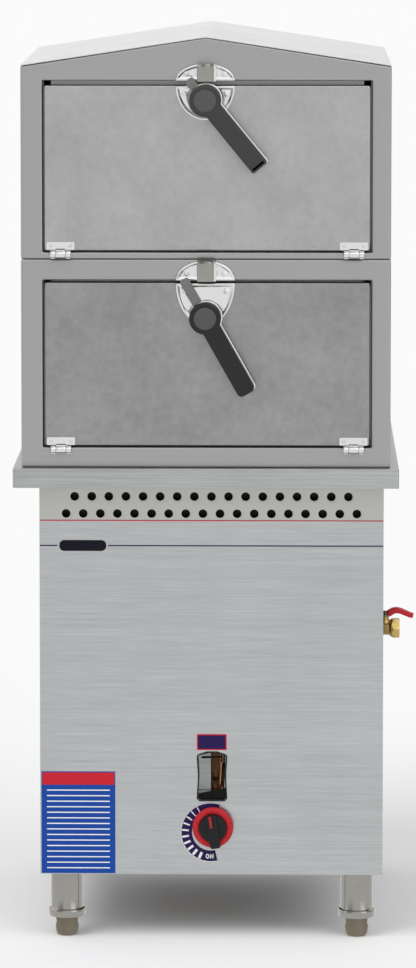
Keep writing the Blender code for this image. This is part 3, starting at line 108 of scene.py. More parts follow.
class SteamerColours(bpy.types.PropertyGroup):
    """Colours of the steamer's finishes."""

    steel: colour("Body steel", (0.50, 0.517, 0.522), "Brushed sheet of the lower body")
    ledge: colour("Ledge steel", (0.455, 0.47, 0.462), "Brushed sheet of the ledge")
    vent: colour("Vent steel", (0.57, 0.57, 0.55), "Warmer sheet of the vent strip")
    cabinet: colour("Cabinet steel", (0.43, 0.43, 0.43), "Satin sheet of the cabinet")
    # Painted shade: a darker copy of the cabinet's satin steel, for the dimmer reflection on the lower door
    lower_door: colour("Lower door", (0.34, 0.34, 0.34), "Satin sheet of the lower door")
    upper_door: colour("Upper door", (0.46, 0.46, 0.46), "Satin sheet of the upper door")
    # Painted light: the cabinet's satin steel made much lighter, for the light falling on the roof's slopes
    roof: colour("Roof steel", (0.76, 0.76, 0.76), "Satin sheet of the roof")
    polished: colour("Polished steel", (0.33, 0.32, 0.295), "Legs and small bright parts")
    # Painted shade: the tongue's steel is darkened to match the shade beside the latch hub
    dark_steel: colour("Dark steel", (0.20, 0.195, 0.19), "Latch tongues and nuts")
    chrome: colour("Chrome", (0.50, 0.50, 0.50), "Latches and hinges")
    cast: colour("Cast metal", (0.22, 0.19, 0.145), "Feet and burner")
    # Painted shade: near-black laid on the tank's outside so the closed body reads dark through the vent
    # holes
    soot: colour("Soot", (0.030, 0.029, 0.027), "Outside of the water tank")
    brass: colour("Brass", (0.60, 0.41, 0.15), "Drain valve and gas control")
    copper: colour("Copper", (0.62, 0.30, 0.17), "Gas pipes")
    vinyl: colour("Lever vinyl", (0.48, 0.010, 0.022), "Dipped grip of the drain lever")
    knob_red: colour("Knob ring", (0.47, 0.018, 0.025), "Skirt round the gas knob")
    black: colour("Black plastic", (0.012, 0.012, 0.013), "Knob")
    grip: colour("Upper grip", (0.045, 0.045, 0.046), "Upper latch's grip")
    # Painted shade: a darker copy of the upper grip's plastic for the lower latch
    lower_grip: colour("Lower grip", (0.020, 0.020, 0.021), "Lower latch's grip")
    # Partly painted shade: a real shield, its near-black standing for the dark inside of the port
    port_dark: colour("Port inside", (0.006, 0.006, 0.006), "Shield in the sight port")
    badge: colour("Badge plate", (0.006, 0.005, 0.012), "Blank badge plate")
    cap: colour("Latch cap", (0.085, 0.085, 0.086), "Disc over a latch's pivot")
    heel: colour("Lever heel", (0.30, 0.22, 0.14), "Bare strap of the drain lever")
    navy: colour("Navy print", (0.020, 0.010, 0.075), "Dial and name plate")
    blue: colour("Blue plate", (0.008, 0.060, 0.330), "Field of the blank card")
    print_red: colour("Red print", (0.55, 0.016, 0.03), "Printed line, border and card header")
    white: colour("White print", (0.82, 0.82, 0.82), "Dial marks and card rules")
    rubber: colour("Gasket rubber", (0.16, 0.16, 0.155), "Door seals")


class SteamerStage(bpy.types.PropertyGroup):
    """Camera, floor and light."""

    distance: length("Camera distance", 8.0, "From the middle of the object to the camera")
    height: length("Camera height", 1.848, "Height of the camera over the floor")
    sideways: FloatProperty(name="Camera offset", description="Camera's place to the right", default=0.1183,
                            unit="LENGTH")
    pitch: angle("Camera pitch", 5.11, "Angle that the camera looks down")
    yaw: angle("Camera yaw", 0.95, "Angle that the camera looks to the left")
    lens: FloatProperty(name="Lens", description="Focal length", default=177.3, unit="CAMERA")
    shift_up: FloatProperty(name="Vertical shift", description="Share of the frame's long side",
                            default=-0.25)
    floor: length("Floor size", 120.0, "Width of the floor")
    world: FloatProperty(name="World light", description="Radiance of the surroundings", default=0.62,
                         min=0)
    key: FloatProperty(name="Key light", description="Strength of the key sun", default=1.05, min=0)
    fill: FloatProperty(name="Fill light", description="Strength of the fill sun", default=0.55, min=0)


def ring(radius, steps=48, start=0.0):
    """Points on a circle: (radius·cos a, radius·sin a) for evenly spaced angles a."""
    turn = start + np.arange(steps) * 2 * math.pi / steps
    return radius * np.column_stack([np.cos(turn), np.sin(turn)])


def arc(radius, start, end, steps, centre=(0, 0)):
    """Points on an arc between two angles in degrees, both ends included."""
    turn = np.radians(np.linspace(start, end, steps))
    return np.asarray(centre) + radius * np.column_stack([np.cos(turn), np.sin(turn)])


def rounded(left, bottom, right, top, radius, steps=6):
    """A rectangle whose corners are quarter circles, anticlockwise from the lower right corner."""
    corners = (
        ((right - radius, bottom + radius), -90),
        ((right - radius, top - radius), 0),
        ((left + radius, top - radius), 90),
        ((left + radius, bottom + radius), 180),
    )
    return np.concatenate([arc(radius, start, start + 90, steps, centre) for centre, start in corners])


def inset(outline, distance):
    """Each point moves in along the mitre of the normals of its two edges."""
    ahead = np.roll(outline, -1, axis=0) - outline
    normal = np.column_stack([ahead[:, 1], -ahead[:, 0]]) / np.linalg.norm(ahead, axis=1)[:, None]
    before = np.roll(normal, 1, axis=0)
    mitre = (normal + before) / (1 + np.sum(normal * before, axis=1))[:, None]
    return outline - mitre * distance


def at_level(outline, level):
    """Lift a flat outline to a level along its out direction."""
    return np.column_stack([outline, np.full(len(outline), level)])


def loft(rings, loop=False, ends=True):
    """Quads from ring r, column c to ring r + 1, column c + 1; a loop joins the last ring to the first."""
    rings = np.asarray(rings, float)
    rows, columns = rings.shape[:2]
    index = np.arange(rows * columns).reshape(rows, columns)
    if loop:
        index = np.vstack([index, index[:1]])
    beside = np.roll(index, -1, axis=1)
    faces = np.stack([index[:-1], beside[:-1], beside[1:], index[1:]], axis=-1).reshape(-1, 4).tolist()
    if ends and not loop:
        faces += [index[0][::-1].tolist(), index[-1].tolist()]
    return rings.reshape(-1, 3), faces


def rolled(outline, radius, level, steps, way=1):
    """A round fold: at angle a the outline is drawn in by radius·(1 − cos a), radius·(1 − sin a) deep."""
    turn = np.linspace(0, math.pi / 2, steps)[::way]
    return [at_level(inset(outline, radius * (1 - math.cos(a))), level - radius * (1 - math.sin(a)))
            for a in turn]


def slab(outline, low, high, edge=0.0, steps=3):
    """A plate with round rims: at angle a it is drawn in by edge·(1 − sin a), edge·(1 − cos a) deep."""
    outline = np.asarray(outline, float)
    if not edge:
        return loft([at_level(outline, low), at_level(outline, high)])
    turn = np.linspace(0, math.pi / 2, steps + 1)
    drawn = np.concatenate([[1.6 * edge], edge * (1 - np.sin(turn))])
    deep = np.concatenate([[0], edge * (1 - np.cos(turn))])
    rings = [at_level(inset(outline, d), low + t) for d, t in zip(drawn, deep)]
    rings += [at_level(inset(outline, d), high - t) for d, t in zip(drawn[::-1], deep[::-1])]
    return loft(rings)


def lathe(profile, steps=48, loop=False):
    """A turned shape: point = (r·cos a, r·sin a, h) for each (r, h) of the profile."""
    rings = [at_level(ring(radius, steps), height) for radius, height in profile]
    return loft(rings, loop=loop)


def sweep(path, section, side, loop=False):
    """A section carried along a flat path: point = path + across·side + out·(side × tangent)."""
    path, side = np.asarray(path, float), np.asarray(side, float)
    if loop:
        ahead = np.roll(path, -1, axis=0) - np.roll(path, 1, axis=0)
    else:
        ahead = np.gradient(path, axis=0)
    out = np.cross(side, ahead / np.linalg.norm(ahead, axis=1)[:, None])
    section = np.broadcast_to(section, (len(path), *np.shape(section)[-2:]))
    rings = path[:, None] + section[..., :1] * side + section[..., 1:] * out[:, None]
    return loft(rings, loop=loop)


def lay(part, facing, origin=(0, 0, 0), turn=0.0):
    """Turn a part about its out direction, then place it: origin + across·U + up·V + out·W."""
    points, faces = part
    cosine, sine = math.cos(turn), math.sin(turn)
    spin = np.array([[cosine, sine, 0], [-sine, cosine, 0], [0, 0, 1]])
    return points @ spin @ np.array(FACING[facing], float) + np.asarray(origin, float), faces


def joined(parts):
    """Several parts' points and faces in one list each."""
    offsets = np.cumsum([0] + [len(points) for points, _ in parts])
    faces = [[index + int(offset) for index in face] for (_, group), offset in zip(parts, offsets)
             for face in group]
    return np.concatenate([points for points, _ in parts]), faces


def build(name, parts, look, body, replaces=(), turn_out=True):
    """Make parts one piece: merge doubles, turn faces out, smooth soft edges and ride on a body."""
    points, faces = joined(parts)
    mesh = bpy.data.meshes.new(name)
    mesh.from_pydata((points + HOME).tolist(), [], faces)
    work = bmesh.new()
    work.from_mesh(mesh)
    bmesh.ops.remove_doubles(work, verts=work.verts, dist=WELD)
    if turn_out:
        bmesh.ops.recalc_face_normals(work, faces=work.faces)
    work.to_mesh(mesh)
    work.free()
    mesh.shade_smooth()
    mesh.set_sharp_from_angle(angle=SMOOTH_ANGLE)
    mesh.materials.append(look)
    piece = bpy.data.objects.new(name, mesh)
    bpy.context.scene.collection.objects.link(piece)
    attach(piece, body)
    if replaces:
        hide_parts(*replaces)
    return piece


def place_of(name):
    """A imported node's lowest and highest corners, measured from the ledge's middle on the floor."""
    low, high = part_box(name)
    return np.array(low) - HOME, np.array(high) - HOME


def node(tree, kind, inputs=None, **settings):
    """Add a shader node with its settings, and link or set its inputs."""
    made = tree.nodes.new("ShaderNode" + kind)
    for key, value in settings.items():
        setattr(made, key, value)
    for key, value in (inputs or {}).items():
        if isinstance(value, bpy.types.NodeSocket):
            tree.links.new(value, made.inputs[key])
        else:
            made.inputs[key].default_value = value
    return made


def math_of(tree, operation, first, second=0.0):
    """The output of one Math node."""
    return node(tree, "Math", {0: first, 1: second}, operation=operation).outputs[0]


def mixed(tree, factor, first, second, blend="MIX"):
    """The output of one Mix node for colours."""
    made = node(tree, "Mix", {"Factor": factor, 6: first, 7: second}, data_type="RGBA", blend_type=blend)
    return made.outputs[2]


# A grain's stretch and its noise layers: scale per metre, detail, share, and whether it is drawn out
GRAINS = {
    "brushed": (0.018, ((1500, 2, 0.30, True), (420, 2, 0.34, True), (95, 2, 0.16, True),
                        (5, 3, 0.20, False))),
    "satin": (1, ((900, 2, 0.16, False), (85, 3, 0.34, False), (11, 2, 0.50, False))),
    "cast": (1, ((1900, 2, 0.40, False), (420, 3, 0.40, False), (45, 2, 0.20, False))),
    "moulded": (1, ((2600, 2, 0.60, False), (240, 2, 0.25, False), (16, 2, 0.15, False))),
    "polish": (0.05, ((2200, 2, 0.35, True), (300, 2, 0.25, True), (18, 3, 0.40, False))),
}


def grain_group(name, stretch, layers):
    """Shade and height from a sum of noises; streaks lie level, and along X on level faces."""
    tree = bpy.data.node_groups.new(f"{name}_grain", "ShaderNodeTree")
    tree.interface.new_socket("Seed", in_out="INPUT", socket_type="NodeSocketFloat")
    for label in ("Shade", "Height", "Cloud"):
        tree.interface.new_socket(label, in_out="OUTPUT", socket_type="NodeSocketFloat")
    given, result = tree.nodes.new("NodeGroupInput"), tree.nodes.new("NodeGroupOutput")
    place = node(tree, "TexCoord")
    lie = node(tree, "SeparateXYZ", {0: place.outputs["Normal"]})
    level = math_of(tree, "GREATER_THAN", math_of(tree, "ABSOLUTE", lie.outputs["Z"]), 0.7)
    across = node(tree, "MapRange", {"Value": level, "To Min": stretch, "To Max": 1.0}).outputs[0]
    draw = node(tree, "CombineXYZ", {"X": stretch, "Y": across, "Z": 1.0})
    streaked = node(tree, "VectorMath", {0: place.outputs["Object"], 1: draw.outputs[0]},
                    operation="MULTIPLY")
    shade = height = None
    for scale, detail, share, drawn in layers:
        source = streaked.outputs[0] if drawn else place.outputs["Object"]
        noise = node(tree, "TexNoise", {"Vector": source, "W": given.outputs["Seed"], "Scale": scale,
                                        "Detail": detail}, noise_dimensions="4D")
        part = math_of(tree, "MULTIPLY", noise.outputs[0], share)
        height = height or part
        shade = math_of(tree, "ADD", shade, part) if shade else part
    cloud = node(tree, "MapRange", {"Value": noise.outputs[0], "From Min": 0.35, "From Max": 0.65})
    spread = node(tree, "MapRange", {"Value": shade, "From Min": 0.36, "From Max": 0.64})
    tree.links.new(spread.outputs[0], result.inputs["Shade"])
    tree.links.new(height, result.inputs["Height"])
    tree.links.new(cloud.outputs[0], result.inputs["Cloud"])
    return tree


def tank_shade_group():
    """Painted shade mask: one on the outer faces of the water tank's walls and floor, zero inside, from
    object coordinates.
    """
    tree = bpy.data.node_groups.new("soot_mask", "ShaderNodeTree")
    tree.interface.new_socket("Mask", in_out="OUTPUT", socket_type="NodeSocketFloat")
    result = tree.nodes.new("NodeGroupOutput")
    low, high = place_of("water_tank")
    half = (high - low) / 2 - TANK_RIM - SHEET / 2
    away = node(tree, "VectorMath", {0: node(tree, "TexCoord").outputs["Object"], 1: tuple(HOME)},
                operation="SUBTRACT")
    lie = node(tree, "SeparateXYZ", {0: away.outputs[0]})
    walls = [math_of(tree, "GREATER_THAN", math_of(tree, "ABSOLUTE", lie.outputs[axis]), half[axis])
             for axis in (0, 1)]
    floor = math_of(tree, "LESS_THAN", lie.outputs[2], low[2] + SHEET / 2)
    mask = math_of(tree, "MAXIMUM", math_of(tree, "MAXIMUM", *walls), floor)
    tree.links.new(mask, result.inputs[0])
    return tree


def finish_of(name, colour, grain, roughness, shade, gloss, bump, seed, soot=None, **surface):
    """A finish: grain shades the colour, its cloud shifts the gloss, and its height makes a fine bump."""
    groups = bpy.data.node_groups
    group = groups.get(f"{grain}_grain") or grain_group(grain, *GRAINS[grain])
    look = bpy.data.materials.new(name)
    look.use_nodes = True
    tree = look.node_tree
    shader = tree.nodes["Principled BSDF"]
    pattern = node(tree, "Group", {}, node_tree=group)
    pattern.inputs["Seed"].default_value = seed
    dark = [channel * (1 - shade) for channel in colour]
    light = [min(channel * (1 + shade), 1) for channel in colour]
    shaded = mixed(tree, pattern.outputs["Shade"], (*dark, 1), (*light, 1))
    # Painted shade: the mask lays a near-black on the tank's outer faces, for the shade inside the body
    if soot:
        mask = node(tree, "Group", {}, node_tree=tank_shade_group())
        shaded = mixed(tree, mask.outputs[0], shaded, (*soot, 1))
    tree.links.new(shaded, shader.inputs["Base Color"])
    low, high = max(roughness - gloss, 0.02), roughness + gloss
    rough = node(tree, "MapRange", {"Value": pattern.outputs["Cloud"], "To Min": low, "To Max": high})
    tree.links.new(rough.outputs[0], shader.inputs["Roughness"])
    height = pattern.outputs["Height"]
    relief = node(tree, "Bump", {"Height": height, "Strength": bump, "Distance": 0.3 * MM})
    tree.links.new(relief.outputs[0], shader.inputs["Normal"])
    for key, value in surface.items():
        shader.inputs[key.replace("_", " ").title().replace("Ior", "IOR")].default_value = value
    return look


# Metals: colour, grain, roughness, shade, gloss, bump and seed
METALS = {
    "steel": ("steel", "brushed", 0.36, 0.17, 0.05, 0.05, 0),
    "ledge_steel": ("ledge", "brushed", 0.38, 0.22, 0.05, 0.06, 3),
    "vent_steel": ("vent", "brushed", 0.33, 0.14, 0.05, 0.04, 5),
    "cabinet_steel": ("cabinet", "satin", 0.40, 0.13, 0.05, 0.03, 0),
    # Painted shade: the lower door's steel is darker than the upper door's
    "lower_door_steel": ("lower_door", "satin", 0.40, 0.15, 0.05, 0.03, 2),
    "upper_door_steel": ("upper_door", "satin", 0.40, 0.12, 0.05, 0.03, 4),
    # Painted light: the roof's copy of the satin steel is much lighter
    "roof_steel": ("roof", "satin", 0.42, 0.06, 0.05, 0.02, 7),
    "inner_steel": ("vent", "satin", 0.30, 0.08, 0.05, 0.03, 9),
    "tank_steel": ("vent", "satin", 0.34, 0.08, 0.05, 0.03, 9),
    "polished": ("polished", "polish", 0.11, 0.06, 0.04, 0.02, 0),
    "dark_steel": ("dark_steel", "polish", 0.24, 0.12, 0.05, 0.04, 0),
    "chrome": ("chrome", "polish", 0.07, 0.03, 0.03, 0.015, 0),
    "cast": ("cast", "cast", 0.50, 0.25, 0.05, 0.50, 0),
    "brass": ("brass", "cast", 0.28, 0.16, 0.08, 0.10, 0),
    "copper": ("copper", "polish", 0.30, 0.16, 0.08, 0.05, 0),
    "heel": ("heel", "cast", 0.42, 0.20, 0.05, 0.20, 0),
}

# Plastics, prints and rubber: the same, then the specular level
PLASTICS = {
    "vinyl": ("vinyl", "moulded", 0.34, 0.08, 0.05, 0.10, 0, 0.20),
    "knob_red": ("knob_red", "moulded", 0.36, 0.06, 0.05, 0.05, 0, 0.20),
    "black": ("black", "moulded", 0.32, 0.20, 0.05, 0.08, 0, 0.18),
    "grip": ("grip", "moulded", 0.42, 0.14, 0.05, 0.14, 0, 0.20),
    "lower_grip": ("lower_grip", "moulded", 0.40, 0.14, 0.05, 0.14, 6, 0.20),
    "cap": ("cap", "moulded", 0.30, 0.06, 0.05, 0.05, 0, 0.20),
    "enamel": ("black", "cast", 0.16, 0.20, 0.04, 0.06, 0, 0.30),
    # Partly painted shade: the port shield's near-black
    "port_dark": ("port_dark", "cast", 0.50, 0.20, 0.05, 0.10, 0, 0.10),
    "navy": ("navy", "moulded", 0.38, 0.06, 0.05, 0.03, 0, 0.12),
    "badge": ("badge", "moulded", 0.38, 0.06, 0.05, 0.03, 0, 0.12),
    "blue": ("blue", "moulded", 0.34, 0.05, 0.05, 0.03, 0, 0.15),
    "print_red": ("print_red", "moulded", 0.40, 0.05, 0.05, 0.03, 0, 0.15),
    "white": ("white", "moulded", 0.45, 0.02, 0.05, 0.03, 0, 0.20),
    "rubber": ("rubber", "cast", 0.62, 0.10, 0.05, 0.10, 0, 0.20),
}


def looks():
    """The steamer's finishes by name, made once from its colours."""
    tints = bpy.context.scene.steamer_colours
    # The tank's steel carries painted shade on its outer faces
    extra = {"vinyl": {"coat_weight": 0.2, "coat_roughness": 0.2},
             "tank_steel": {"soot": tuple(tints.soot)}}
    made = {}
    for name, (tint, *recipe) in {**METALS, **PLASTICS}.items():
        more = dict(extra.get(name, {}))
        if name in METALS:
            more["metallic"] = 1.0
        else:
            more["specular_ior_level"] = recipe.pop()
        found = bpy.data.materials.get(name)
        made[name] = found or finish_of(name, tuple(getattr(tints, tint)), *recipe, **more)
    return made


def dress(look, *names):
    """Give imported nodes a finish."""
    for name in names:
        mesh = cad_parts[name].data
        mesh.materials.clear()
        mesh.materials.append(look)


# The studio's light round the object, from behind by the left, the front and the right to behind again,
# and its light from the horizon up to the zenith: places from 0 to 1 and the light there
AROUND = ((0.0, 0.95), (0.12, 0.85), (0.19, 1.25), (0.29, 1.25), (0.335, 0.45), (0.40, 0.50), (0.45, 0.95),
          (0.56, 0.95), (0.60, 1.5), (0.655, 1.7), (0.70, 0.55), (0.75, 0.12), (0.82, 0.15), (0.90, 0.9))
ABOVE = ((0.0, 1.0), (0.20, 1.0), (0.27, 0.50), (0.36, 0.50), (0.48, 1.6), (0.78, 1.6), (0.88, 0.9))


def band_ramp(tree, place, stops):
    """The output of a colour ramp with soft bands of grey."""
    made = node(tree, "ValToRGB", {0: place})
    ramp = made.color_ramp
    ramp.interpolation = "EASE"
    for at, value in stops[2:]:
        ramp.elements.new(at)
    for element, (at, value) in zip(ramp.elements, stops):
        element.position = at
        element.color = (value, value, value, 1)
    return made.outputs[0]


def studio_world(stage):
    """White for the camera; for gloss, a studio with soft bands of light round the object and above it."""
    world = bpy.data.worlds.new("studio")
    bpy.context.scene.world = world
    world.use_nodes = True
    tree = world.node_tree
    surface = tree.nodes["Background"]
    path = node(tree, "LightPath")
    way = node(tree, "SeparateXYZ", {0: node(tree, "TexCoord").outputs["Generated"]})
    turn = math_of(tree, "ARCTAN2", way.outputs["X"], math_of(tree, "MULTIPLY", way.outputs["Y"], -1.0))
    around = node(tree, "MapRange", {"Value": turn, "From Min": -math.pi, "From Max": math.pi})
    bands = band_ramp(tree, around.outputs[0], AROUND)
    belts = band_ramp(tree, way.outputs["Z"], ABOVE)
    studio = mixed(tree, 1.0, bands, belts, "MULTIPLY")
    soft = mixed(tree, path.outputs["Is Diffuse Ray"], studio, (stage.world,) * 3 + (1,))
    seen = mixed(tree, path.outputs["Is Camera Ray"], soft, (1, 1, 1, 1))
    tree.links.new(seen, surface.inputs["Color"])


def sun(name, strength, spread, turn):
    """A soft lamp far away, turned as given in degrees."""
    lamp = bpy.data.lights.new(name, "SUN")
    lamp.energy = strength
    lamp.angle = math.radians(spread)
    made = bpy.data.objects.new(name, lamp)
    made.rotation_euler = [math.radians(value) for value in turn]
    made.visible_glossy = False
    bpy.context.scene.collection.objects.link(made)


def floor_look():
    """A pale floor that keeps the shadow for the camera and looks white in gloss."""
    look = bpy.data.materials.new("floor")
    look.use_nodes = True
    tree = look.node_tree
    shader = tree.nodes["Principled BSDF"]
    shader.inputs["Base Color"].default_value = (0.93, 0.93, 0.93, 1)
    shader.inputs["Roughness"].default_value = 0.9
    shader.inputs["Specular IOR Level"].default_value = 0.0
    glow = node(tree, "Emission", {"Color": (0.95, 0.95, 0.95, 1)})
    mix = node(tree, "MixShader", {0: node(tree, "LightPath").outputs["Is Glossy Ray"],
                                   1: shader.outputs[0], 2: glow.outputs[0]})
    tree.links.new(mix.outputs[0], tree.nodes["Material Output"].inputs["Surface"])
    return look


class SteamerOperator(bpy.types.Operator):
    """What the steamer's operators share."""

    bl_options = {"REGISTER", "UNDO"}


class StageOperator(SteamerOperator):
    """Build the floor, the light and the camera."""

    bl_idname = "steamer.stage"
    bl_label = "Stage"

    def execute(self, context):
        stage = context.scene.steamer_stage
        context.scene.view_settings.view_transform = "Standard"
        studio_world(stage)
        sun("key_light", stage.key, 35, (38, 0, -42))
        sun("fill_light", stage.fill, 60, (48, 0, 48))
        half = stage.floor / 2
        mesh = bpy.data.meshes.new("floor")
        mesh.from_pydata([(-half, -half, 0), (half, -half, 0), (half, half, 0), (-half, half, 0)], [],
                         [(0, 1, 2, 3)])
        mesh.materials.append(floor_look())
        floor = bpy.data.objects.new("floor", mesh)
        context.scene.collection.objects.link(floor)
        camera = bpy.data.objects.new("camera", bpy.data.cameras.new("camera"))
        context.scene.collection.objects.link(camera)
        camera.location = (stage.sideways, -stage.distance, stage.height)
        camera.rotation_euler = (math.pi / 2 - stage.pitch, 0, stage.yaw)
        camera.data.lens = stage.lens
        camera.data.shift_y = stage.shift_up
        context.scene.camera = camera
        return {"FINISHED"}


class InnerOperator(SteamerOperator):
    """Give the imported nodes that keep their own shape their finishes."""

    bl_idname = "steamer.inner_finishes"
    bl_label = "Panels and inner parts"

    def execute(self, context):
        made = looks()
        dress(made["steel"], "front_panel", "left_panel", "right_panel", "back_panel", "base_frame")
        dress(made["cabinet_steel"], "upper_casing", "lower_casing")
        dress(made["inner_steel"], "upper_door_inner", "lower_door_inner", "upper_rack", "lower_rack",
              "burner_bracket")
        dress(made["tank_steel"], "water_tank")
        dress(made["rubber"], "upper_gasket", "lower_gasket")
        dress(made["copper"], "gas_inlet_pipe", "burner_pipe", "pilot_burner")
        dress(made["brass"], "gas_control_valve", "drain_pipe")
        dress(made["chrome"], "drain_valve_ball", "knob_spindle", "gas_valve_plunger")
        dress(made["cast"], "burner_head")
        dress(made["navy"], "dial_plate")
        return {"FINISHED"}


def bent_sheet_rings(outline, low, high, fold, stock, opening):
    """Rings of a folded tray, mouth down: skirt, round fold, top, opening's edge, underside, inner skirt."""
    inner = max(fold - stock, 0.2 * MM)
    lining = inset(outline, stock)
    rim = [at_level(opening, high), at_level(opening, high - stock)]
    under = rolled(lining, inner, high - stock, 5, -1)
    return [at_level(outline, low), *rolled(outline, fold, high, 5), *rim, *under, at_level(lining, low)]


class LedgeOperator(SteamerOperator):
    """Build the ledge: a folded tray, mouth down, with an opening over the water."""

    bl_idname = "steamer.ledge"
    bl_label = "Ledge"

    def execute(self, context):
        sizes = context.scene.steamer_sizes
        (left, front, low), (right, back, high) = place_of("ledge")
        outline = rounded(left, front, right, back, 2 * sizes.ledge_fold)
        tank_low, tank_high = place_of("water_tank")
        opening = rounded(tank_low[0] + TANK_RIM, tank_low[1] + TANK_RIM, tank_high[0] - TANK_RIM,
                          tank_high[1] - TANK_RIM, 1.2 * MM)
        rings = bent_sheet_rings(outline, low, high, sizes.ledge_fold, SHEET, opening)
        build("ledge_tray", [loft(rings, loop=True)], looks()["ledge_steel"], "base",
              ["ledge"])
        return {"FINISHED"}


def hole_cell(centre, half, radius, rounding, top):
    """One cell of the strip: square border to round hole, then the punched edge with a small round."""
    turn = np.arange(24) * math.pi / 12
    flat = np.column_stack([np.cos(turn), np.sin(turn)])
    square = flat / np.abs(flat).max(axis=1)[:, None] * half
    levels = ((radius + rounding, 0.0), (radius + 0.3 * rounding, -0.3 * rounding), (radius, -rounding),
              (radius, -top))
    rings = [at_level(centre + square, 0)] + [at_level(centre + flat * r, z) for r, z in levels]
    return loft(rings, ends=False)


class VentOperator(SteamerOperator):
    """Build the perforated strip: square cells round punched holes, with plain sheet round the rows."""

    bl_idname = "steamer.vent_strip"
    bl_label = "Vent strip"

    def execute(self, context):
        sizes = context.scene.steamer_sizes
        (left, front, low), (right, back, high) = place_of("vent_strip")
        pitch, half = sizes.vent_pitch, sizes.vent_pitch / 2
        middle = (left + right) / 2
        rows = ((738.3 * MM, 17), (710 * MM, 18))
        parts, bands = [], []
        rounding = 0.7 * MM
        for height, count in rows:
            first = middle - pitch * (count - 1) / 2
            reach = min(half, height - low)
            for step in range(count):
                centre = np.array((first + step * pitch, height))
                points, faces = hole_cell(centre, (half, reach), sizes.vent_hole, rounding, back - front)
                parts.append((points, faces))
            ends = (first - half, first + half + (count - 1) * pitch)
            bands += [(left, height - reach, ends[0], height + reach),
                      (ends[1], height - reach, right, height + reach)]
            bands.append((left, height + reach, right, high if height == rows[0][0] else rows[0][0] - half))
        for x0, z0, x1, z1 in bands:
            if z1 - z0 > WELD:
                corners = np.array([(x0, z0, 0), (x1, z0, 0), (x1, z1, 0), (x0, z1, 0)])
                parts.append((corners, [[0, 1, 2, 3]]))
        deep = back - front
        border = np.array([(left, low), (right, low), (right, high), (left, high)])
        parts.append(loft([at_level(border, -deep), at_level(border, 0)], ends=False))
        laid = [lay(part, "front", (0, front, 0)) for part in parts]
        build("vent_strip_sheet", laid, looks()["vent_steel"], "base", ["vent_strip"],
              turn_out=False)
        return {"FINISHED"}


class LegsOperator(SteamerOperator):
    """Build the legs, turned tubes with a collar, and the levelling feet with wrench flats."""

    bl_idname = "steamer.legs"
    bl_label = "Legs and feet"

    def execute(self, context):
        made = looks()
        for name in LEGS:
            low, high = place_of(f"leg_{name}")
            x, y = (low[:2] + high[:2]) / 2
            bottom, top = low[2], high[2]
            collar = (high[0] - low[0]) / 2
            tube = collar - 3.5 * MM
            bore, soft = 6.4 * MM, 1.2 * MM
            lip, plug = bottom + 13 * MM, bottom + 27 * MM
            profile = [
                (tube, top), (tube, lip + 2 * MM), (tube + 0.4 * MM, lip + 0.6 * MM),
                (collar - soft, lip), (collar - 0.3 * soft, lip - 0.3 * soft), (collar, lip - soft),
                (collar, bottom + soft), (collar - 0.3 * soft, bottom + 0.3 * soft),
                (collar - soft, bottom),
                (bore, bottom), (bore, plug), (tube - SHEET, plug), (tube - SHEET, top),
            ]
            leg = lay(lathe(profile, 64, loop=True), "up", (x, y, 0))
            build(f"leg_{name}_tube", [leg], made["polished"], "base", [f"leg_{name}"])
            low, high = place_of(f"foot_{name}")
            radius = (high[0] - low[0]) / 2
            screw = 5.8 * MM
            shoulder = bottom - 0.5 * MM
            turn = np.linspace(0, math.pi / 2, 7)
            bullet = [(15 * MM + (radius - 15 * MM) * math.sin(a), 16 * MM * (1 - math.cos(a)) + 0.8 * MM)
                      for a in turn[1:]]
            profile = [(0.2 * MM, 0), (13.6 * MM, 0), (14.6 * MM, 0.25 * MM), (15 * MM, 0.8 * MM), *bullet,
                       (radius, 20 * MM), (radius, shoulder - 1.2 * MM), (radius - 1.2 * MM, shoulder),
                       (screw + 1 * MM, shoulder), (screw, shoulder + 0.2 * MM)]
            crests = [(screw - 0.7 * MM * (step % 2), shoulder + (1 + step) * MM) for step in range(56)]
            profile += crests + [(screw - 2 * MM, shoulder + 58 * MM), (0.2 * MM, shoulder + 58 * MM)]
            points, faces = lathe(profile, 48)
            flat = 17.4 * MM
            wide = np.abs(points[:, 0]) > flat
            wrench = wide & (points[:, 2] > 18 * MM) & (points[:, 2] < 31 * MM)
            points[wrench, 0] = np.sign(points[wrench, 0]) * flat
            foot = lay((points, faces), "up", (x, y, 0))
            build(f"foot_{name}_bullet", [foot], made["cast"], f"foot_{name}",
                  [f"foot_{name}"])
        return {"FINISHED"}


def doorway(tier):
    """The doorway's left, low, right and high edges round a tier's door."""
    low, high = place_of(f"{tier}_gasket")
    gap = 3 * MM
    top = {"upper": 8 * MM, "lower": 4 * MM}[tier]
    return low[0] - gap, low[2] - gap, high[0] + gap, high[2] + top


def square_ring(left, bottom, right, top, radius, crown=0.0, steps=5):
    """A rounded rectangle with a point in the middle of its top edge, raised by the crown."""
    corners = rounded(left, bottom, right, top, radius, steps)
    return np.insert(corners, 2 * steps, [(left + right) / 2, top + crown], axis=0)


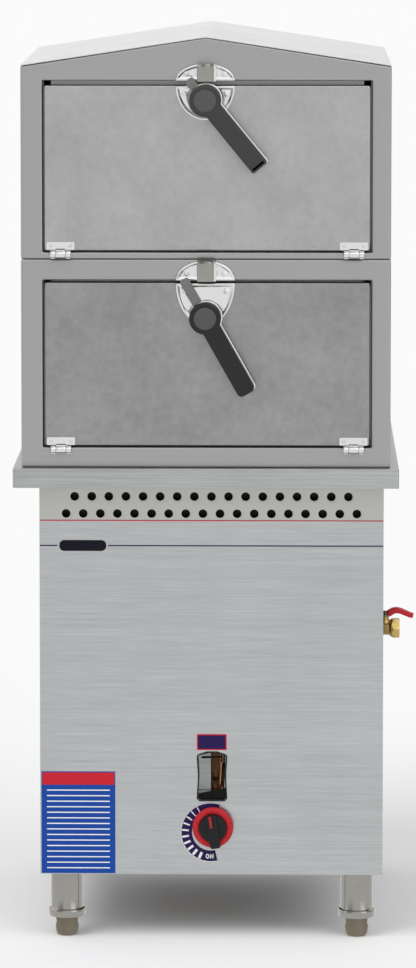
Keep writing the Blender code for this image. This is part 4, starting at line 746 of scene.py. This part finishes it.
class FramesOperator(SteamerOperator):
    """Build the cabinet's fronts: a face with round folds, a deep return and a stop round each doorway."""

    bl_idname = "steamer.front_frames"
    bl_label = "Cabinet fronts"

    def execute(self, context):
        sizes = context.scene.steamer_sizes
        fold = sizes.frame_fold
        for tier in TIERS:
            (left, front, low), (right, back, high) = place_of(f"{tier}_front_frame")
            eave = high
            if tier == "upper":
                eave = place_of("upper_strike")[0][2] + 25.5 * MM - SHEET - 0.3 * MM
            crown = high - eave
            x0, z0, x1, z1 = doorway(tier)
            turn = np.linspace(0, math.pi / 2, 6)
            stop = front_of_stop() - front
            deep = back - front

            def outer(shrink):
                return square_ring(left + shrink, low + shrink, right - shrink, eave - shrink,
                                   max(fold - shrink, 0.4 * MM), crown)

            def inner(grow):
                return square_ring(x0 - grow, z0 - grow, x1 + grow, z1 + grow, 1.2 * MM + grow)

            rings = [at_level(outer(0), -deep), at_level(outer(0), -fold)]
            rings += [at_level(outer(fold * (1 - math.cos(a))), -fold * (1 - math.sin(a))) for a in turn]
            rings += [at_level(inner(fold * (1 - math.sin(a))), -fold * (1 - math.cos(a))) for a in turn]
            seat = -13 * MM
            rings += [at_level(inner(0), -stop), at_level(inner(seat), -stop),
                      at_level(inner(seat), -stop - SHEET),
                      at_level(inner(SHEET), -stop - SHEET), at_level(inner(SHEET), -SHEET - fold),
                      at_level(outer(SHEET + fold), -SHEET - 0.2 * MM),
                      at_level(outer(SHEET), -fold - SHEET),
                      at_level(outer(SHEET), -deep)]
            part = lay(loft(rings, loop=True), "front", (0, front, 0))
            build(f"{tier}_front", [part], looks()["cabinet_steel"], "base",
                  [f"{tier}_front_frame"])
        return {"FINISHED"}


def front_of_stop():
    """The level of the doorway's stop behind a closed door's seal."""
    return place_of("upper_gasket")[1][1] + 0.3 * MM


class RoofOperator(SteamerOperator):
    """Build the roof: one bent sheet with a soft ridge."""

    bl_idname = "steamer.roof"
    bl_label = "Roof"

    def execute(self, context):
        (left, front, low), (right, back, high) = place_of("roof")
        eave = low + SHEET
        rise = high - eave
        across = np.concatenate([np.linspace(left, -12 * MM, 12), np.linspace(-10 * MM, 10 * MM, 9),
                                 np.linspace(12 * MM, right, 12)])
        half = (right - left) / 2
        slope = rise / half
        height = eave + rise - slope * np.sqrt(across ** 2 + (5 * MM) ** 2)
        top = np.column_stack([across, height])
        under = np.column_stack([across, height - SHEET])[::-1]
        outline = np.concatenate([top, under])
        sheet = loft([at_level(outline, front - back), at_level(outline, 0)])
        part = lay(sheet, "front", (0, front, 0))
        build("roof_sheet", [part], looks()["roof_steel"], "base", ["roof"])
        return {"FINISHED"}


def screw_head(radius, centre, facing_y):
    """A pan-head screw with a straight slot cut into its crown."""
    dome = [(radius, 0), (radius, 0.5 * MM), (0.92 * radius, 1.1 * MM), (0.7 * radius, 1.55 * MM),
            (0.4 * radius, 1.8 * MM), (0.05 * radius, 1.85 * MM)]
    points, faces = lathe(dome, 24)
    slot = np.abs(points[:, 1]) < 0.16 * radius
    points[slot & (points[:, 2] > 1.0 * MM), 2] -= 0.7 * MM
    return lay((points, faces), "front", (centre[0], facing_y, centre[1]), 0.6)


def hinge_spots(tier):
    """The left and right hinges' middles across, and the level and depth of the door's hinge axis."""
    spots = {side: place_of(f"{tier}_hinge_bracket_{side}") for side in SIDES}
    middles = {side: (low[0] + high[0]) / 2 for side, (low, high) in spots.items()}
    low, high = spots["left"]
    return middles, high[2] - 6 * MM, low[1] + 6 * MM


def knuckle(start, end, depth, level, bore=2.7 * MM, radius=6 * MM):
    """A short tube along X with rounded ends."""
    soft = 0.6 * MM
    span = end - start
    profile = [
        (bore, 0.2 * MM), (bore + 0.2 * MM, 0),
        (radius - soft, 0), (radius - 0.3 * soft, 0.3 * soft), (radius, soft),
        (radius, span - soft), (radius - 0.3 * soft, span - 0.3 * soft), (radius - soft, span),
        (bore + 0.2 * MM, span), (bore, span - 0.2 * MM),
    ]
    return lay(lathe(profile, 32, loop=True), "right", (start, depth, level))


class DoorsOperator(SteamerOperator):
    """Build the doors: trays with a round rim, and a hinge leaf with its knuckle at each lower corner."""

    bl_idname = "steamer.doors"
    bl_label = "Doors"

    def execute(self, context):
        made = looks()
        fold = context.scene.steamer_sizes.door_fold
        for tier in TIERS:
            gasket_low, gasket_high = place_of(f"{tier}_gasket")
            left, bottom, right, top = gasket_low[0], gasket_low[2], gasket_high[0], gasket_high[2]
            back = place_of(f"{tier}_door_inner")[1][1]
            front = back - 22 * MM
            outline = rounded(left, bottom, right, top, 3.2 * MM, 5)
            deep = back - front
            lining = inset(outline, SHEET)
            rings = [at_level(inset(outline, 2 * fold), -SHEET),
                     at_level(inset(outline, SHEET + 0.4 * MM), -SHEET),
                     at_level(lining, -SHEET - 0.4 * MM),
                     at_level(lining, -deep), at_level(outline, -deep), *rolled(outline, fold, 0, 6),
                     at_level(inset(outline, 1.4 * fold), 0)]
            # The lower door's finish is a darker copy of the same steel: painted shade
            look = made[f"{tier}_door_steel"]
            build(f"{tier}_door_tray", [lay(loft(rings), "front", (0, front, 0))], look, f"{tier}_door",
                  [f"{tier}_door_skin"])
            middles, level, depth = hinge_spots(tier)
            parts = []
            for x in middles.values():
                half = 23 * MM
                leaf = slab(rounded(x - half, bottom + 0.6 * MM, x + half, bottom + 13.6 * MM, 1.6 * MM), 0,
                            2 * MM, 0.5 * MM)
                parts.append(lay(leaf, "front", (0, front, 0)))
                tongue = rounded(x - 7.9 * MM, level, x + 7.9 * MM, bottom + 3 * MM, 0.5 * MM)
                tongue = slab(tongue, 0.1 * MM, 2 * MM, 0.3 * MM)
                parts.append(lay(tongue, "front", (0, front, 0)))
                parts.append(knuckle(x - 7.9 * MM, x + 7.9 * MM, depth, level))
                parts += [screw_head(2.6 * MM, (x + reach, bottom + 7.4 * MM), front - 1.9 * MM)
                          for reach in (-16 * MM, 16 * MM)]
            build(f"{tier}_hinge_leaves", parts, made["chrome"], f"{tier}_door",
                  [f"{tier}_door_skin"])
        return {"FINISHED"}


class HingesOperator(SteamerOperator):
    """Build the hinge brackets: two ears with a foot on the frame, and the pin with domed ends."""

    bl_idname = "steamer.hinges"
    bl_label = "Hinge brackets"

    def execute(self, context):
        made = looks()
        for tier in TIERS:
            middles, level, depth = hinge_spots(tier)
            face = place_of(f"{tier}_front_frame")[0][1] - 0.3 * MM
            for side, x in middles.items():
                parts = []
                for start in (x - 16.5 * MM, x + 8.5 * MM):
                    parts.append(knuckle(start, start + 8 * MM, depth, level, bore=2.3 * MM))
                    foot = rounded(depth, level - 7.4 * MM, face, level - 0.5 * MM, 0.6 * MM)
                    foot = slab(foot, 0.6 * MM, 7.4 * MM, 0.4 * MM)
                    parts.append(lay(foot, "right", (start, 0, 0)))
                pin = [(0.2 * MM, -0.9 * MM), (1.5 * MM, -0.7 * MM), (2.5 * MM, 0), (2.5 * MM, 33 * MM),
                       (1.5 * MM, 33.7 * MM), (0.2 * MM, 33.9 * MM)]
                parts.append(lay(lathe(pin, 20), "right", (x - 16.5 * MM, depth, level)))
                build(f"{tier}_hinge_{side}", parts, made["chrome"], "base",
                      [f"{tier}_hinge_bracket_{side}"])
        return {"FINISHED"}


def half_oval(middle, base, half, rise, start, steps=40):
    """Half an oval, anticlockwise: across half·cos a, up rise·sin a, for half a turn from a start angle."""
    turn = np.radians(np.linspace(start, start + 180, steps + 1))
    return np.column_stack([middle + half * np.cos(turn), base + rise * np.sin(turn)])


# A latch plate's raised rim: how far its outline is drawn in, and the level there, in millimetres
RIM = ((0, 0), (0, 3.0), (0.35, 4.1), (1.2, 4.8), (2.4, 5.0), (3.6, 4.7), (4.6, 3.9), (5.6, 3.2), (7, 3.0))


def rimmed(outline):
    """A plate with a raised round rim: the outline drawn in, at the rim profile's levels."""
    return loft([at_level(inset(outline, shrink * MM), level * MM) for shrink, level in RIM])


def latch_facts(tier):
    """A latch's middle, pivot level, door top, strike bottom and depths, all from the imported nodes."""
    plate_low, plate_high = place_of(f"{tier}_latch_plate")
    strike_low, strike_high = place_of(f"{tier}_strike")
    arm_low, arm_high = place_of(f"{tier}_latch_arm")
    grip_low, grip_high = place_of(f"{tier}_latch_grip")
    drop = {"upper": 22.6 * MM, "lower": 55 * MM}[tier]
    return {
        "x": (plate_low[0] + plate_high[0]) / 2,
        "z": plate_high[2] - drop if tier == "lower" else place_of("upper_gasket")[1][2] - drop,
        "door_top": place_of(f"{tier}_gasket")[1][2],
        "strike": strike_low[2],
        "strike_top": strike_high[2],
        "back": plate_high[1],
        "face": strike_high[1],
        "arm": (arm_high[1], arm_low[1]),
        "grip": (grip_high[1], grip_low[1]),
        "block": strike_low[1],
        "turn": math.radians({"upper": 39.3, "lower": 29.5}[tier]),
    }


def grip_outline(grow, corner):
    """The handle's outline: most of a circle round the pivot, then a bar with round lower corners."""
    half, hub, reach = 15 * MM + grow, 26 * MM + grow, 141 * MM + grow
    neck = math.degrees(math.asin(half / hub))
    head = arc(hub, neck - 90, 270 - neck, 44)
    left = arc(corner, 180, 270, 7, (corner - half, corner - reach))
    right = arc(corner, 270, 360, 7, (half - corner, corner - reach))
    return np.concatenate([head, left, right])


class LatchesOperator(SteamerOperator):
    """Build the latches: rimmed half ovals, the hooked block, the bright arm and the dark grip."""

    bl_idname = "steamer.latches"
    bl_label = "Latches"

    def execute(self, context):
        made = looks()
        for tier in TIERS:
            facts = latch_facts(tier)
            x, z, turn = facts["x"], facts["z"], facts["turn"]
            back, front = facts["arm"]
            fall = facts["door_top"] - place_of(f"{tier}_latch_plate")[0][2]
            door_half = half_oval(x, facts["door_top"], 48.5 * MM, fall, 180)
            parts = [lay(rimmed(door_half), "front", (0, facts["back"], 0))]
            lift = facts["back"] - back - 0.3 * MM
            tip = lift + 14 * MM
            boss = [(17 * MM, 2.6 * MM), (15.6 * MM, 3.4 * MM), (15 * MM, 4.6 * MM),
                    (15 * MM, lift - 0.5 * MM),
                    (14.5 * MM, lift), (5 * MM, lift), (5 * MM, tip), (0.2 * MM, tip)]
            parts.append(lay(lathe(boss, 48), "front", (x, facts["back"], z)))
            screw = context.scene.steamer_sizes.screw
            parts += [screw_head(screw, (x + across, facts["door_top"] - 13 * MM), facts["back"] - 2.8 * MM)
                      for across in (-34 * MM, 34 * MM)]
            build(f"{tier}_latch_base", parts, made["chrome"], f"{tier}_door",
                  [f"{tier}_latch_plate"])

            rise = {"upper": 28, "lower": 33}[tier] * MM
            frame_half = half_oval(x, facts["strike"], 48.5 * MM, rise, 0)
            thick = facts["face"] - facts["back"] + 5 * MM
            points, faces = rimmed(frame_half)
            points[:, 2] = np.where(points[:, 2] > 0, points[:, 2] + thick - 5 * MM, 0)
            parts = [lay((points, faces), "front", (0, facts["face"], 0))]
            face = facts["face"] - thick + 2.2 * MM
            base, top, nose = facts["strike"], facts["strike_top"], facts["block"]
            rear = facts["back"] + 1 * MM
            parts += [screw_head(screw, (x + across, base + 11 * MM), face) for across in (-31 * MM,
                                                                                           31 * MM)]
            cheek = np.array([(rear, base), (nose + 3 * MM, base), (nose + 3 * MM, top - 4 * MM),
                              (nose + 7 * MM, top), (rear, top)])[::-1]
            parts.append(lay(slab(cheek, 13.2 * MM, 17.4 * MM, 0.8 * MM), "right", (x, 0, 0)))
            build(f"{tier}_strike_base", parts, made["chrome"], "base", [f"{tier}_strike"])
            gap, roof = 0.6 * MM, top - 10 * MM
            hook = np.array([(rear, base), (back + gap, base), (back + gap, roof), (front - gap, roof),
                             (front - gap, base), (nose, base), (nose, top - 4 * MM), (nose + 4 * MM, top),
                             (rear, top)])[::-1]
            block = lay(slab(hook, -13 * MM, 13 * MM, 0.8 * MM), "right", (x, 0, 0))
            build(f"{tier}_strike_block", [block], made["polished"], "base",
                  [f"{tier}_strike"])

            reach = {"upper": 43.6, "lower": 72.0}[tier] * MM
            tongue = rounded(-8 * MM, -20 * MM, 8 * MM, reach, 4 * MM)
            corner = {"upper": 4, "lower": 9}[tier] * MM
            plate = grip_outline(0.7 * MM, corner) + (1.9 * MM, 0)
            bright = lay(slab(plate, 0, back - front, 1.1 * MM), "front", (x, back, z), turn)
            build(f"{tier}_latch_lever", [bright], made["chrome"], f"{tier}_latch",
                  [f"{tier}_latch_arm"])
            tongue = slab(tongue, 0.1 * MM, back - front - 0.1 * MM, 0.8 * MM)
            tongue = lay(tongue, "front", (x, back, z), turn)
            # The tongue's darkened steel is painted shade
            build(f"{tier}_latch_tongue", [tongue], made["dark_steel"], f"{tier}_latch",
                  [f"{tier}_latch_arm"])

            grip_back, grip_front = facts["grip"]
            thick = grip_back - grip_front
            shape = grip_outline(0, {"upper": 3, "lower": 8}[tier] * MM)
            parts = [lay(slab(shape, 0, thick - 1.2 * MM, 4.5 * MM, 6), "front", (x, grip_back, z), turn)]
            # The lower grip's darker copy of the same plastic is painted shade
            look = made[{"upper": "grip", "lower": "lower_grip"}[tier]]
            build(f"{tier}_latch_handle", parts, look, f"{tier}_latch",
                  [f"{tier}_latch_grip"])
            crown = [(18 * MM, -2 * MM), (18 * MM, 0), (17.4 * MM, 0.6 * MM), (15.5 * MM, 0.9 * MM),
                     (10 * MM, 1.1 * MM), (0.2 * MM, 1.2 * MM)]
            cap = lay(lathe(crown, 48), "front", (x, grip_front + 1.2 * MM, z))
            build(f"{tier}_latch_cap", [cap], made["cap"], f"{tier}_latch",
                  [f"{tier}_latch_grip"])
        return {"FINISHED"}


class KnobOperator(SteamerOperator):
    """Build the gas knob, its red skirt and its pointer."""

    bl_idname = "steamer.gas_knob"
    bl_label = "Gas knob"

    def execute(self, context):
        made = looks()
        low, high = place_of("knob_ring")
        x, z, back = (low[0] + high[0]) / 2, (low[2] + high[2]) / 2, high[1]
        skirt = MM * np.array([(22.9, 0), (33.0, 0), (33.5, 0.5), (33.4, 4.4), (32.6, 6.2), (30.8, 7.5),
                               (28.6, 8), (23.6, 7.4), (22.9, 6.8)])
        turned = lay(lathe(skirt, 64, loop=True), "front", (x, back, z))
        build("knob_skirt", [turned], made["knob_red"], "gas_knob", ["knob_ring"])
        core = MM * np.array([(4.3, 0), (22.1, 0), (22.6, 0.5), (22.6, 10.6), (22.0, 11.6), (20.8, 12),
                              (0.2, 12)])
        turned = lay(lathe(core, 64), "front", (x, back, z))
        tilt = math.radians(8.5)
        outline = rounded(-8.75 * MM, -33.3 * MM, 8.75 * MM, 22.2 * MM, 4.5 * MM)
        bar = lay(slab(outline, 8.3 * MM, 17.3 * MM, 2.6 * MM, 5), "front", (x, back, z), tilt)
        build("knob_core", [turned, bar], made["black"], "gas_knob", ["gas_knob"])
        outline = rounded(-4.1 * MM, 2 * MM, -0.5 * MM, 21 * MM, 0.8 * MM)
        mark = lay(slab(outline, 16.8 * MM, 17.55 * MM, 0.3 * MM), "front", (x, back, z), tilt)
        build("knob_pointer", [mark], made["knob_red"], "gas_knob", ["gas_knob"])
        return {"FINISHED"}


def stroke(path, width, proud):
    """A printed line: a flat path given half its width to each side, a little proud of the sheet."""
    path = np.asarray(path, float)
    ahead = np.gradient(path, axis=0)
    beside = np.column_stack([-ahead[:, 1], ahead[:, 0]])
    beside *= width / 2 / np.linalg.norm(ahead, axis=1)[:, None]
    outline = np.concatenate([path - beside, (path + beside)[::-1]])
    return slab(outline, 0, proud)


class DialOperator(SteamerOperator):
    """Print the dial: a rim arc, ten ticks that grow wider, and ON at its foot."""

    bl_idname = "steamer.dial"
    bl_label = "Dial marks"

    def execute(self, context):
        made = looks()
        proud = context.scene.steamer_sizes.print_proud
        low, high = place_of("dial_plate")
        ring_low, ring_high = place_of("knob_ring")
        x = (ring_low[0] + ring_high[0]) / 2 - 3.6 * MM
        z = (ring_low[2] + ring_high[2]) / 2 - 10 * MM
        parts = [stroke(arc(49.0 * MM, 73, 282, 60), 0.9 * MM, proud)]
        for step in range(10):
            turn = math.radians(118.5 + 14.17 * step)
            way = np.array((math.cos(turn), math.sin(turn)))
            beside = np.array((-way[1], way[0])) * (1.5 + 0.32 * step) / 2 * MM
            inner, outer = way * 36.5 * MM, way * 47.5 * MM
            tick = np.array([inner - beside, outer - beside, outer + beside, inner + beside])
            parts.append(slab(tick, 0, proud))
        foot = np.array((-2.1 * MM, -40 * MM))
        height, line = 4.0 * MM, 1.5 * MM
        outer = (arc(2.9 * MM, 0, 360, 25) * (1, 1.38))[:-1]
        inner = (arc(2.9 * MM - line, 0, 360, 25) * (1, 1.5))[:-1]
        levels = [at_level(outer, 0), at_level(outer, proud), at_level(inner, proud), at_level(inner, 0)]
        points, faces = loft(levels, loop=True)
        parts.append((points + (*(foot - (3.4 * MM, 0)), 0), faces))
        wide = 4.4 * MM
        slope = height - line / 2
        bars = ((0, -height, 0, height), (wide, -height, wide, height), (0, slope, wide, -slope))
        for x0, z0, x1, z1 in bars:
            path = foot + (1.4 * MM, 0) + np.array([(x0, z0), ((x0 + x1) / 2, (z0 + z1) / 2), (x1, z1)])
            parts.append(stroke(path, line, proud))
        laid = [lay(part, "front", (x, low[1], z)) for part in parts]
        build("dial_marks", laid, made["white"], "base")
        return {"FINISHED"}


class PortOperator(SteamerOperator):
    """Build the sight port: an arched sleeve with a round lip, a slanted shield inside and its screw."""

    bl_idname = "steamer.sight_port"
    bl_label = "Sight port"

    def execute(self, context):
        made = looks()
        (left, front, low), (right, back, high) = place_of("sight_port")
        middle = (left + right) / 2
        rows = np.linspace(0, 1, 33)
        half = (right - left) / 2
        waist = 1.6 * MM * np.sin(math.pi * np.clip((rows - 0.08) / 0.8, 0, 1)) ** 2
        lower = 7 * MM * np.clip(1 - rows / 0.09, 0, 1) ** 2
        upper = 24 * MM * np.clip((rows - 0.90) / 0.10, 0, 1) ** 3
        side = np.column_stack([half - waist - lower - upper, low + rows * (high - low)])
        mirror = side[::-1] * (-1, 1)
        outline = np.concatenate([side, mirror]) + (middle, 0)
        wall, deep = 2.4 * MM, back - front
        lip = ((0.25, -0.3), (0.9, 0), (1.6, -0.2), (2.4, -1.2))
        rings = [at_level(outline, -deep), at_level(outline, -1.0 * MM)]
        rings += [at_level(inset(outline, across * MM), up * MM) for across, up in lip]
        rings.append(at_level(inset(outline, wall), -deep))
        build("port_sleeve", [lay(loft(rings, loop=True), "front", (0, front, 0))], made["enamel"], "base",
              ["sight_port"])
        x0, x1 = left + wall + 0.3 * MM, right - wall - 0.3 * MM
        shield = np.array([(x0, low + 4 * MM), (x1, low + 4 * MM), (x1, low + 22 * MM),
                           (x0, low + 12 * MM)])
        g0, g1 = x0 + 5 * MM, x1 - 6 * MM
        glint = np.array([(g0, high - 13 * MM), (g1, high - 12 * MM), (g1, high - 8.5 * MM),
                          (g0, high - 9.5 * MM)])
        parts = [lay(slab(shield, -6.6 * MM, -5 * MM, 0.4 * MM), "front", (0, front, 0)),
                 lay(slab(glint, -9.5 * MM, -8 * MM, 0.4 * MM), "front", (0, front, 0))]
        parts.append(screw_head(3.2 * MM, (middle, low + 10 * MM), front + 5 * MM))
        # The shield's near-black is partly painted shade, for the dark inside of the port
        build("port_shield", parts, made["port_dark"], "base")
        # Painted light: a copper strip stands for the light on the port's inner wall
        lit_wall_strip = np.array([(right - 14 * MM, low + 14 * MM), (right - 11 * MM, low + 14 * MM),
                         (right - 8 * MM, high - 22 * MM), (right - 11 * MM, high - 22 * MM)])
        build("port_pilot_strip", [lay(slab(lit_wall_strip, -26 * MM, -22 * MM, 1 * MM), "front", (0, front, 0))],
              made["copper"], "base")
        return {"FINISHED"}


def hexagon(radius, span, soft, steps=10):
    """A hexagon bar whose ends are turned down: the radius at angle a is cut to a cone near both ends."""
    turn = np.arange(6 * steps) * math.pi / (3 * steps)
    flat = radius * math.cos(math.pi / 6)
    reach = flat / np.cos((turn + math.pi / 6) % (math.pi / 3) - math.pi / 6)
    rings = []
    for along, cone in ((0, 0), (soft, 1), (span - soft, 1), (span, 0)):
        limit = flat if not cone else radius
        r = np.minimum(reach, limit + (0 if cone else soft * 0.4))
        rings.append(at_level(np.column_stack([r * np.cos(turn), r * np.sin(turn)]), along))
    return rings


class ValveOperator(SteamerOperator):
    """Build the drain valve: hexagons, a waisted barrel, a threaded socket, a boss and the lever."""

    bl_idname = "steamer.drain_valve"
    bl_label = "Drain valve"

    def execute(self, context):
        made = looks()
        (left, front, low), (right, back, high) = place_of("drain_valve_body")
        y = (front + back) / 2
        x = (left + right) / 2
        z = low + 17.4 * MM
        half = (right - left) / 2
        spin = math.pi / 2
        end = hexagon(17.4 * MM, 12 * MM, 1.2 * MM)
        parts = [lay(loft(end), "right", (x - half, y, z), spin)]
        bore = [at_level(ring(r * MM, 60), a * MM) for r, a in
                ((12.6, 12.0), (11.6, 11.8), (10.9, 11.0), (11.4, 10.2), (10.8, 9.4), (11.4, 8.6),
                 (10.8, 7.8), (11.4, 7.0), (10.8, 6.2), (11.2, 5.0), (6.0, 4.8), (5.5, 0.5))]
        parts.append(lay(loft(end + bore), "right", (x + half - 12 * MM, y, z), spin))
        barrel = [(11.7 * MM, 0), (11.7 * MM, 16 * MM), (12.4 * MM, 17.5 * MM), (13.6 * MM, 19 * MM),
                  (14.9 * MM, 20.2 * MM), (15.2 * MM, 22 * MM)]
        whole = [(radius, half - 12 * MM - 22 * MM + along) for radius, along in barrel]
        back_cone = [(15.2 * MM, -half + 11 * MM), (13.6 * MM, -half + 14 * MM)]
        parts.append(lay(lathe(back_cone + whole, 48), "right", (x, y, z)))
        boss_top = high - z
        boss = [(8.4 * MM, 8 * MM), (8.2 * MM, 12.2 * MM), (7.2 * MM, 13.6 * MM), (6.2 * MM, 14.4 * MM),
                (6.2 * MM, boss_top - 0.8 * MM), (5.6 * MM, boss_top), (3.7 * MM, boss_top),
                (3.7 * MM, 6 * MM)]
        parts.append(lay(lathe(boss, 32, loop=True), "up", (x, y, z)))
        build("valve_casting", parts, made["brass"], "base", ["drain_valve_body"])

        base = z + boss_top + 0.3 * MM
        path = np.array([(x + 6 * MM, 0, base + 1.4 * MM), (x + 9.5 * MM, 0, base + 4.6 * MM),
                         (x + 14 * MM, 0, base + 7.4 * MM), (x + 19 * MM, 0, base + 8.3 * MM),
                         (x + 25 * MM, 0, base + 7.2 * MM), (x + 33 * MM, 0, base + 3.8 * MM),
                         (x + 40 * MM, 0, base + 0.9 * MM), (x + 45.6 * MM, 0, base - 0.6 * MM)])
        fine = np.linspace(0, len(path) - 1, 29)
        path = np.column_stack([np.interp(fine, range(len(path)), path[:, axis]) for axis in range(3)])
        path[:, 1] = y
        share = np.linspace(0, 1, len(path))[:, None]
        width = (15 - 3.6 * share ** 1.5) / 2 * MM
        tall = (7.2 - 1.6 * share) * MM * np.clip(share * 9 + 0.35, 0, 1)
        shape = np.array([(-1.0, 0.30), (-1.03, -0.2), (-0.95, -0.75), (-0.6, -1.0),
                          (0.6, -1.0), (0.95, -0.75), (1.03, -0.2), (1.0, 0.30),
                          (0.9, 0.40), (0.78, 0.26), (0.72, -0.45), (0.5, -0.62),
                          (-0.5, -0.62), (-0.72, -0.45), (-0.78, 0.26), (-0.9, 0.40)])
        section = np.stack([shape[None, :, 0] * width, shape[None, :, 1] * tall], axis=-1)
        grip = sweep(path, section, (0, 1, 0))
        build("drain_lever_grip", [grip], made["vinyl"], "drain_handle", ["drain_lever"])
        heel = slab(rounded(-7.4 * MM, -7.4 * MM, 8 * MM, 7.4 * MM, 3.6 * MM), 0, 2.4 * MM, 0.5 * MM)
        strap = np.array([(x + 5 * MM, y, base + 1.2 * MM), (x + 8 * MM, y, base + 2.6 * MM),
                          (x + 12 * MM, y, base + 5.6 * MM)])
        bar = MM * np.array([(-6.6, -1.0), (6.6, -1.0), (6.9, -0.4), (6.9, 0.4),
                             (6.6, 1.0), (-6.6, 1.0), (-6.9, 0.4), (-6.9, -0.4)])
        parts = [lay(heel, "up", (x, y, base)), sweep(strap, bar, (0, 1, 0))]
        build("drain_lever_heel", parts, made["heel"], "drain_handle", ["drain_lever"])
        nut_low, nut_high = place_of("drain_lever_nut")
        nut = hexagon(6.4 * MM, nut_high[2] - nut_low[2], 0.7 * MM)
        stem = [(3.3 * MM, -1 * MM), (3.3 * MM, 5.2 * MM), (2.6 * MM, 6.0 * MM), (0.2 * MM, 6.1 * MM)]
        build("drain_lever_hexagon", [lay(loft(nut), "up", (x, y, nut_low[2])),
                                      lay(lathe(stem, 24), "up", (x, y, nut_low[2]))],
              made["cast"], "drain_handle", ["drain_lever_nut"])
        return {"FINISHED"}


class TrimsOperator(SteamerOperator):
    """Lay the printed lines and the blank plates on the front panel."""

    bl_idname = "steamer.trims"
    bl_label = "Printed lines and blank plates"

    def execute(self, context):
        made = looks()
        sizes = context.scene.steamer_sizes
        (left, front, low), (right, back, high) = place_of("front_panel")
        proud, stock = sizes.print_proud, sizes.plate_stock


        def plate(name, look, slot, edges, corner, level=0.0, thick=stock, soft=0.25 * MM, steps=5):
            part = slab(rounded(*edges, corner, steps), level, level + thick, soft)
            build(name, [lay(part, "front", (0, front, 0))], made[look], "base")

        def line(name, look, slot, *edges):
            plate(name, look, slot, edges, 0.3 * MM, thick=proud, soft=0.08 * MM, steps=3)

        x0, x1 = left + 0.4 * MM, right - 0.4 * MM
        line("red_line", "print_red", "red_plastic", x0, high - 1.6 * MM, x1, high - 0.1 * MM)
        line("navy_line_left", "navy", "navy_print", x0, 656 * MM, -243.6 * MM, 658 * MM)
        line("navy_line_right", "navy", "navy_print", -160.5 * MM, 656 * MM, x1, 658 * MM)

        badge = MM * np.array((-240.5, 648, -163.5, 666))
        border = MM * np.array((-15.1, 318, 33.9, 344.5))
        field = MM * np.array((-13.2, 319.9, 32.0, 342.6))
        card = x0, z0, x1, z1 = MM * np.array((-271, 111.8, -149.4, 281.6))
        head = 259.6 * MM
        header = (x0 + 1.5 * MM, head, x1 - 1.5 * MM, z1 - 1.5 * MM)
        over = {"level": stock - 0.1 * MM, "thick": 0.25 * MM}
        plate("badge_plate", "badge", "navy_print", badge, 8 * MM)
        plate("name_plate_border", "print_red", "red_plastic", border, 1 * MM)
        plate("name_plate_field", "navy", "navy_print", field, 0.6 * MM, **over)
        plate("card", "blue", "navy_print", card, 1 * MM)
        plate("card_header", "print_red", "red_plastic", header, 0.5 * MM, **over)
        rules = []
        for row in np.linspace(head - 9 * MM, z0 + 9 * MM, 15):
            rule = rounded(x0 + 9 * MM, row - 0.9 * MM, x1 - 9 * MM, row + 0.9 * MM, 0.3 * MM, 2)
            part = slab(rule, stock - 0.1 * MM, stock + 0.12 * MM)
            rules.append(lay(part, "front", (0, front, 0)))
        build("card_rules", rules, made["white"], "base")
        return {"FINISHED"}


OPERATORS = (
    StageOperator, InnerOperator, LedgeOperator, VentOperator, LegsOperator, FramesOperator, RoofOperator,
    DoorsOperator, HingesOperator, LatchesOperator, KnobOperator, DialOperator, PortOperator, ValveOperator,
    TrimsOperator,
)
GROUPS = {"steamer_sizes": SteamerSizes, "steamer_colours": SteamerColours, "steamer_stage": SteamerStage}


class SteamerPanel(bpy.types.Panel):
    """The steamer's sizes, colours and builders in the 3D view's sidebar."""

    bl_idname = "VIEW3D_PT_steamer"
    bl_label = "Gas Steamer"
    bl_space_type = "VIEW_3D"
    bl_region_type = "UI"
    bl_category = "Steamer"

    def draw(self, context):
        for operator in OPERATORS:
            self.layout.operator(operator.bl_idname)
        for name, group in GROUPS.items():
            box = self.layout.box()
            for key in group.__annotations__:
                box.prop(getattr(context.scene, name), key)


def register():
    for group in GROUPS.values():
        bpy.utils.register_class(group)
    for name, group in GROUPS.items():
        setattr(bpy.types.Scene, name, PointerProperty(type=group))
    for operator in OPERATORS:
        bpy.utils.register_class(operator)
    bpy.utils.register_class(SteamerPanel)


def unregister():
    bpy.utils.unregister_class(SteamerPanel)
    for operator in reversed(OPERATORS):
        bpy.utils.unregister_class(operator)
    for name, group in GROUPS.items():
        delattr(bpy.types.Scene, name)
        bpy.utils.unregister_class(group)


def main():
    register()
    for operator in OPERATORS:
        family, name = operator.bl_idname.split(".")
        getattr(getattr(bpy.ops, family), name)()


if __name__ == "__main__":
    main()
